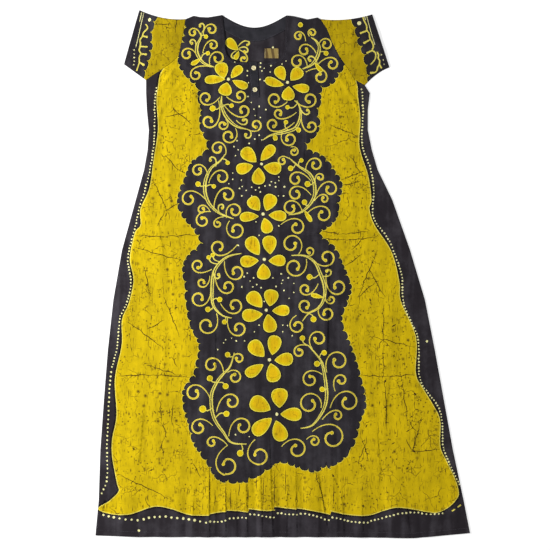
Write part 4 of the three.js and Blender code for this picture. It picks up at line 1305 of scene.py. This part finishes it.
def stitchRow(verts, faces, line, heightAt, pitch, sink=0.05):
    points = straightThrough([tuple(p) for p in line], 0.8)
    runs = np.cumsum([0] + [(b - a).length for a, b in zip(points, points[1:])])
    xs, ys = [p.x for p in points], [p.y for p in points]
    starts = np.arange(pitch / 2, runs[-1] - sewing["length"], pitch)
    if not len(starts):
        return
    at = [np.interp(starts + share * sewing["length"], runs, v) for share in (0, 0.5, 1) for v in (xs, ys)]
    heights = [heightAt(at[k], at[k + 1]) for k in (0, 2, 4)]
    radii = (sewing["endRadius"], sewing["radius"], sewing["endRadius"])
    for i in range(len(starts)):
        centres = [Vector((at[2 * k][i], at[2 * k + 1][i], heights[k][i] + sewing["above"][k] - sink))
                   for k in range(3)]
        threadPiece(verts, faces, centres, radii)


def threadPiece(verts, faces, centres, radii):
    run = (centres[-1] - centres[0]).normalized()
    across = run.cross(Vector((0, 0, 1))).normalized()
    up = across.cross(run)
    sides, first = sewing["sides"], len(verts)
    for centre, radius in zip(centres, radii):
        for k in range(sides):
            angle = math.tau * k / sides
            p = centre + (across * math.cos(angle) + up * math.sin(angle)) * radius
            verts.append(p * mm)
    for ring in range(len(centres) - 1):
        for k in range(sides):
            a, b = first + ring * sides + k, first + ring * sides + (k + 1) % sides
            faces.append((a, b, b + sides, a + sides))
    last = first + (len(centres) - 1) * sides
    faces.append(tuple(first + k for k in reversed(range(sides))))
    faces.append(tuple(last + k for k in range(sides)))


def threadMesh(name, verts, faces):
    mesh = bpy.data.meshes.new(name)
    mesh.from_pydata([tuple(v) for v in verts], [], faces)
    mesh.validate()
    mesh.shade_smooth()
    piece = bpy.data.objects.new(name, mesh)
    bpy.context.collection.objects.link(piece)
    select(piece)
    bpy.ops.object.mode_set(mode="EDIT")
    bpy.ops.mesh.select_all(action="SELECT")
    bpy.ops.mesh.normals_make_consistent(inside=False)
    bpy.ops.object.mode_set(mode="OBJECT")
    return piece


# Where the front's stitches run: in from the hem, and round the neck up to both sides of the placket.
frontSeams = dict(hemIn=13, hemLeft=(-472, -650), hemRight=(471, -645), neckOut=5, topLeft=649, topRight=648,
                  slitAt=530, besideSlit=12)


def frontSewing():
    verts, faces = [], []
    hemLine = [(x, y + frontSeams["hemIn"]) for x, y in cut["hem"]]
    hemLine[0], hemLine[-1] = frontSeams["hemLeft"], frontSeams["hemRight"]
    stitchRow(verts, faces, hemLine, frontZ, sewing["pitch"])
    out, beside = frontSeams["neckOut"], frontSeams["besideSlit"]
    middle = slitX(frontSeams["slitAt"])
    arc = neckArc(out, 70)
    rightSide = [(cut["neckPointRight"] + out, frontSeams["topRight"])]
    rightSide += [p for p in arc if p[0] > middle + beside]
    leftSide = [p for p in arc if p[0] < middle - beside]
    leftSide += [(cut["neckPointLeft"] - out, frontSeams["topLeft"])]
    for line in (rightSide, leftSide):
        stitchRow(verts, faces, line, frontZ, sewing["pitch"])
    return threadMesh("frontSewing", verts, faces)


def bandSewing():
    verts, faces = [], []
    half, long, inset = placket["width"] / 2, placket["length"], trimSizes["stitchIn"]
    top = lambda x, y: bandBase(x, y) + trimSizes["bandThick"]
    for line in (
        [bandPoint(-half + inset, 4), bandPoint(-half + inset, long - inset)],
        [bandPoint(half - inset, 4), bandPoint(half - inset, long - inset)],
        [bandPoint(-half + inset, long - inset), bandPoint(half - inset, long - inset)],
        [bandPoint(-half + inset, long - 12), bandPoint(half - inset, long - 12)],
    ):
        stitchRow(verts, faces, line, top, sewing["closePitch"])
    return threadMesh("placketSewing", verts, faces)


def facingSewing():
    verts, faces = [], []
    xs = np.linspace(cut["neckPointLeft"] - 2, cut["neckPointRight"] + 2, 60)
    top = np.minimum(backNeckY(xs), between(cut["shoulder"], xs)) - trimSizes["edgeIn"]
    z = lambda x, y: np.full_like(x, cut["cloth"] + cut["gap"] + cut["trim"] - trimSizes["facingDrop"])
    lower = top - cut["facingDepth"] + trimSizes["stitchIn"]
    stitchRow(verts, faces, list(zip(xs, lower)), z, sewing["closePitch"])
    stitchRow(verts, faces, list(zip(xs[8:-8], top[8:-8] - 4)), z, sewing["closePitch"])
    return threadMesh("facingSewing", verts, faces)


def labelSewing():
    verts, faces = [], []
    x, y, w, h = label["x"], label["y"], label["width"] / 2 - 1.6, label["height"] / 2 - 1
    z = lambda px, py: np.full_like(px, cut["cloth"] + cut["gap"] + 0.95)
    for side in (-1, 1):
        line = [(x + side * w, y - h), (x + side * w, y + h)]
        stitchRow(verts, faces, line, z, sewing["closePitch"])
    return threadMesh("labelSewing", verts, faces)


def cuffSewing(name, row):
    verts, faces = [], []
    cuff = sleeveLines(row)[3]
    inward = Vector((-row["out"] * 12, -1))
    line = [cuff[0] + inward + Vector((0, -3)), cuff[1] + inward + Vector((0, 5))]
    for k, sink in ((0, 0.05), (1, -0.1)):
        heights = lambda x, y, k=k: sleeveZ(row, x, y)[k]
        stitchRow(verts, faces, line, heights, sewing["pitch"], sink)
    return threadMesh(name + "Sewing", verts, faces)


# Two strands over each pair of holes: how far along and how high their points lie.
def buttonSewing():
    verts, faces = [], []
    s = button["spacing"]
    strand = [(-s - 0.2, -0.7), (-s + 0.5, 0.15), (0, 0.35), (s - 0.5, 0.15), (s + 0.2, -0.7)]
    for which in ("upper", "lower"):
        x, z = buttonSeat(button[which])
        seat = z + button["height"] - button["dish"]
        for side in (-s, s):
            for offset in (-0.3, 0.3):
                points = [Vector((x + side + offset, button[which] + dy, seat + up)) for dy, up in strand]
                threadPiece(verts, faces, points, (sewing["radius"],) * 5)
    return threadMesh("buttonSewing", verts, faces)


frontThread = frontSewing()
bandThread = bandSewing()
facingThread = facingSewing()
labelThread = labelSewing()
cuffThreads = {name: cuffSewing(name, row) for name, row in sleeves.items()}
buttonThread = buttonSewing()
print("sewing made")


# Materials. One small function adds a node with its settings and links, and a few more say what is common.
def addNode(tree, kind, inputs=None, **settings):
    made = tree.nodes.new(kind)
    for key, value in settings.items():
        setattr(made, key, value)
    for key, value in (inputs or {}).items():
        if isinstance(value, bpy.types.NodeSocket):
            tree.links.new(value, made.inputs[key])
        else:
            made.inputs[key].default_value = value
    return made


def newMaterial(name, roughness, **constants):
    material = bpy.data.materials.new(name)
    material.use_nodes = True
    tree = material.node_tree
    shader = tree.nodes["Principled BSDF"]
    shader.inputs["Roughness"].default_value = roughness
    for key, value in constants.items():
        shader.inputs[key.replace("_", " ")].default_value = value
    place = addNode(tree, "ShaderNodeTexCoord").outputs["Object"]
    return material, tree, shader, place


def perMetre(size):
    return 1 / (size * mm)


def noisy(tree, place, size, detail, **more):
    found = {"Vector": place, "Scale": perMetre(size), "Detail": detail, **more}
    return addNode(tree, "ShaderNodeTexNoise", found)


# Bands of light and dark, each about size wide. At a scale of 1 the texture has bandsInUnit of them.
bandsInUnit = 6.3


def waves(tree, place, size, distortion, direction="X", **more):
    found = {"Vector": place, "Scale": perMetre(size) / bandsInUnit, "Distortion": distortion, **more}
    return addNode(tree, "ShaderNodeTexWave", found, bands_direction=direction).outputs["Fac"]


def remapped(tree, value, low, high, first=0.0, last=1.0):
    found = {"Value": value, "From Min": low, "From Max": high, "To Min": first, "To Max": last}
    return addNode(tree, "ShaderNodeMapRange", found).outputs[0]


def combined(tree, operation, a, b):
    return addNode(tree, "ShaderNodeMath", {0: a, 1: b}, operation=operation).outputs[0]


# The first colour where the share is 0, the second where it's 1. Either can be a socket or a written colour.
def blended(tree, share, *colours):
    first, second = ((*linear(c), 1) if isinstance(c, str) else c for c in colours)
    return addNode(tree, "ShaderNodeMix", {0: share, 6: first, 7: second}, data_type="RGBA").outputs[2]


# A wax-printed cotton: matt, faintly fuzzy cloth whose yellow is crazed with fine dark cracks.
crackle = dict(wide=34, wideLine=0.9, fine=12, fineLine=0.7, warp=22, streakWide=2.4, streakLong=24, speck=14,
               # The last colour is the grey of the painted sheen and painted shade bands on bare dark cloth.
               blot=44, strength=0.88, colour="#33200a", paintedSheen="#4d4b50")


def cracks(tree, place, size, line, warp, patch, low, high):
    bent = noisy(tree, place, size * 0.6, 2.0).outputs["Color"]
    shift = addNode(tree, "ShaderNodeVectorMath", {0: bent, 1: (0.5,) * 3}, operation="SUBTRACT").outputs[0]
    push = addNode(tree, "ShaderNodeVectorMath", {0: shift, 1: (warp * mm,) * 3}, operation="MULTIPLY")
    at = addNode(tree, "ShaderNodeVectorMath", {0: place, 1: push.outputs[0]}, operation="ADD").outputs[0]
    cell = addNode(tree, "ShaderNodeTexVoronoi", {"Vector": at, "Scale": perMetre(size)},
                   feature="DISTANCE_TO_EDGE", voronoi_dimensions="2D").outputs["Distance"]
    thin = remapped(tree, cell, line / size * 0.35, line / size, 1.0, 0.0)
    there = remapped(tree, noisy(tree, place, patch, 3.0).outputs["Fac"], low, high)
    return combined(tree, "MULTIPLY", thin, there)


# Short straight ticks where the wax broke along the thread, upright or level, loosely strewn.
def streaks(tree, place, upright):
    narrow, long = perMetre(crackle["streakWide"]), perMetre(crackle["streakLong"])
    stretched = addNode(tree, "ShaderNodeMapping", {
        "Vector": place, "Location": (0.3 if upright else 0.7, 0.2, 0.0),
        "Scale": (narrow, long, 1) if upright else (long, narrow, 1)})
    field = {"Vector": stretched.outputs[0], "Scale": 1.0, "Detail": 1.5}
    ticks = addNode(tree, "ShaderNodeTexNoise", field).outputs["Fac"]
    return remapped(tree, ticks, 0.61 if upright else 0.68, 0.7 if upright else 0.78)


# Round spots of dye, thick in some places and missing in others: their size as shares of the pitch.
def spots(tree, place, pitch, size, patch, where):
    cells = addNode(tree, "ShaderNodeTexVoronoi", {"Vector": place, "Scale": perMetre(pitch)},
                    voronoi_dimensions="2D")
    spot = remapped(tree, cells.outputs["Distance"], *size, 1.0, 0.0)
    thick = remapped(tree, noisy(tree, place, patch, 3.0).outputs["Fac"], *where)
    return combined(tree, "MULTIPLY", spot, thick)


def weaveBump(tree, place, pitch, depth):
    across, along = (waves(tree, place, pitch, 0.6, direction, Detail=1.0) for direction in ("X", "Y"))
    both = combined(tree, "MULTIPLY", across, along)
    slub = noisy(tree, place, 2.6, 3.0).outputs["Fac"]
    total = combined(tree, "ADD", both, slub)
    bump = addNode(tree, "ShaderNodeBump", {"Height": total, "Distance": depth * mm, "Strength": 0.5})
    return bump.outputs[0]


def waxPrintedCotton():
    material, tree, shader, place = newMaterial("waxPrintedCotton", 0.92, Specular_IOR_Level=0.12)
    dye = addNode(tree, "ShaderNodeAttribute", attribute_name="dye").outputs["Color"]
    waxed = addNode(tree, "ShaderNodeAttribute", attribute_name="waxed").outputs["Fac"]
    dark = cracks(tree, place, crackle["wide"], crackle["wideLine"], crackle["warp"], 45, 0.52, 0.6)
    for more in (
        cracks(tree, place, crackle["fine"], crackle["fineLine"], crackle["warp"] / 2, 40, 0.57, 0.65),
        streaks(tree, place, True),
        streaks(tree, place, False),
        spots(tree, place, crackle["speck"], (0.06, 0.19), 55, (0.48, 0.58)),
        spots(tree, place, crackle["blot"], (0.03, 0.13), 120, (0.44, 0.62)),
    ):
        dark = combined(tree, "MAXIMUM", dark, more)
    amount = combined(tree, "MULTIPLY", combined(tree, "MULTIPLY", dark, waxed), crackle["strength"])
    cloudy = noisy(tree, place, 45, 6.0, Roughness=0.68).outputs["Fac"]
    long = addNode(tree, "ShaderNodeMapping", {"Vector": place, "Scale": (perMetre(24), perMetre(260), 1)})
    bands = addNode(tree, "ShaderNodeTexNoise", {"Vector": long.outputs[0], "Scale": 1.0, "Detail": 2.0})
    both = combined(tree, "ADD", cloudy, bands.outputs["Fac"])
    tone = remapped(tree, both, 0.72, 1.28, 0.76, 1.16)
    toned = addNode(tree, "ShaderNodeHueSaturation", {"Color": dye, "Value": tone}).outputs[0]
    crazed = blended(tree, amount, toned, crackle["colour"])
    # Painted sheen and painted shade bands: bare dark cloth lightens to grey in cloudy patches and long
    # upright bands.
    paintedSheenMask = remapped(tree, both, 0.95, 1.3, 0.0, 0.3)
    bare = combined(tree, "GREATER_THAN", 0.1, waxed)
    paintedSheen = blended(tree, combined(tree, "MULTIPLY", paintedSheenMask, bare), crazed, crackle["paintedSheen"])
    tree.links.new(paintedSheen, shader.inputs["Base Color"])
    tree.links.new(weaveBump(tree, place, 1.1, 0.12), shader.inputs["Normal"])
    return material


# A closely woven navy cotton: matt, with threads just raised and a little washed-out shade.
def plainNavyCotton():
    material, tree, shader, place = newMaterial("plainNavyCotton", 0.9, Specular_IOR_Level=0.12)
    shade = remapped(tree, noisy(tree, place, 22, 4.0).outputs["Fac"], 0.35, 0.7)
    tree.links.new(blended(tree, shade, "#1f1f23", "#2c2b30"), shader.inputs["Base Color"])
    tree.links.new(weaveBump(tree, place, 0.9, 0.1), shader.inputs["Normal"])
    return material


# Woven polyester tape: tan and gold, with brown waves woven in and the soft shine of satin thread.
def wovenTape():
    material, tree, shader, place = newMaterial("wovenTape", 0.6, Specular_IOR_Level=0.3)
    ribs = waves(tree, place, 0.9, 0.4, "Y")
    woven = waves(tree, place, 9, 5.0, **{"Detail Scale": 0.6})
    thread = blended(tree, ribs, "#76632f", "#8c7942")
    colour = blended(tree, remapped(tree, woven, 0.5, 0.75), thread, "#52401e")
    tree.links.new(colour, shader.inputs["Base Color"])
    bump = addNode(tree, "ShaderNodeBump", {"Height": ribs, "Distance": 0.15 * mm, "Strength": 0.6})
    tree.links.new(bump.outputs[0], shader.inputs["Normal"])
    return material


# Cast polyester button: cream, glossy, with a faint pearly swirl.
def castPolyester():
    material, tree, shader, place = newMaterial("castPolyester", 0.28, IOR=1.52, Coat_Weight=0.2)
    swirl = waves(tree, place, 4, 5.0, Detail=2.0)
    tree.links.new(blended(tree, swirl, "#c4b888", "#dcd2a8"), shader.inputs["Base Color"])
    return material


# Twisted sewing thread: a fine slanting twist drawn a little coarse so that it shows.
def sewingThread(name, dark, light):
    material, tree, shader, place = newMaterial(name, 0.7, Sheen_Weight=0.1)
    twist = waves(tree, place, 0.5, 1.0, "DIAGONAL")
    tree.links.new(blended(tree, twist, dark, light), shader.inputs["Base Color"])
    return material


cotton = waxPrintedCotton()
navyCotton = plainNavyCotton()
navyThread = sewingThread("navySewingThread", "#232129", "#45424f")
dressedIn = {
    cotton: [front, back, *sleeveMeshes.values()],
    navyCotton: [facing, band],
    wovenTape(): [tag],
    castPolyester(): buttons,
    navyThread: [frontThread, bandThread, facingThread, *cuffThreads.values()],
    sewingThread("creamSewingThread", "#b9ad86", "#e6dcb6"): [labelThread, buttonThread],
}
for material, pieces in dressedIn.items():
    for piece in pieces:
        piece.data.materials.clear()
        piece.data.materials.append(material)
        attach(piece, "root")
print("materials set")

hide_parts("front_panel")
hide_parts("back_panel")
for name, row in sleeves.items():
    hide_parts(row["node"])
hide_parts("back_neck_facing")
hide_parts("placket_band")
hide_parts("neck_label")
for piece, node in zip(buttons, ("button_upper", "button_lower")):
    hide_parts(node)

# A white table lit from within, so shadows on it stay faint, and studio light from the upper left. The glow
# fades where cloth covers the table, so that none shines up through a seam.
studio = dict(floor=8.0, floorColour="#b4b4b3", floorGlow=0.6, glowReach=12, glowFrom=0.25, glowFull=0.45,
              key=(-2.1, 0.25, 1.3), keySize=0.5, keyPower=99, fill=(1.6, -1.2, 2.8), fillSize=2.4,
              fillPower=17, sky="#f7f7f9", skyStrength=0.49)


def addLight(name, location, size, power):
    data = bpy.data.lights.new(name, "AREA")
    data.size, data.energy = size, power
    lamp = bpy.data.objects.new(name, data)
    lamp.location = location
    lamp.rotation_euler = (-Vector(location)).to_track_quat("-Z", "Y").to_euler()
    bpy.context.collection.objects.link(lamp)


def setStudio():
    bpy.ops.mesh.primitive_plane_add(size=studio["floor"], location=(0, 0, 0))
    floor = bpy.context.active_object
    floor.name = "studioFloor"
    table, tree, shader, _ = newMaterial("whiteLightTable", 0.9)
    shader.inputs["Base Color"].default_value = (*linear(studio["floorColour"]), 1)
    shader.inputs["Emission Color"].default_value = (1.0, 1.0, 1.0, 1.0)
    reach = {"Distance": studio["glowReach"] * mm}
    openness = addNode(tree, "ShaderNodeAmbientOcclusion", reach, samples=8).outputs["AO"]
    glow = remapped(tree, openness, studio["glowFrom"], studio["glowFull"], 0.0, studio["floorGlow"])
    tree.links.new(glow, shader.inputs["Emission Strength"])
    floor.data.materials.append(table)
    addLight("keyLight", studio["key"], studio["keySize"], studio["keyPower"])
    addLight("fillLight", studio["fill"], studio["fillSize"], studio["fillPower"])
    world = bpy.data.worlds.new("studioSky")
    world.use_nodes = True
    world.node_tree.nodes["Background"].inputs["Color"].default_value = (*linear(studio["sky"]), 1)
    world.node_tree.nodes["Background"].inputs["Strength"].default_value = studio["skyStrength"]
    bpy.context.scene.world = world
    bpy.context.scene.view_settings.view_transform = "Standard"


setStudio()
print("studio set")
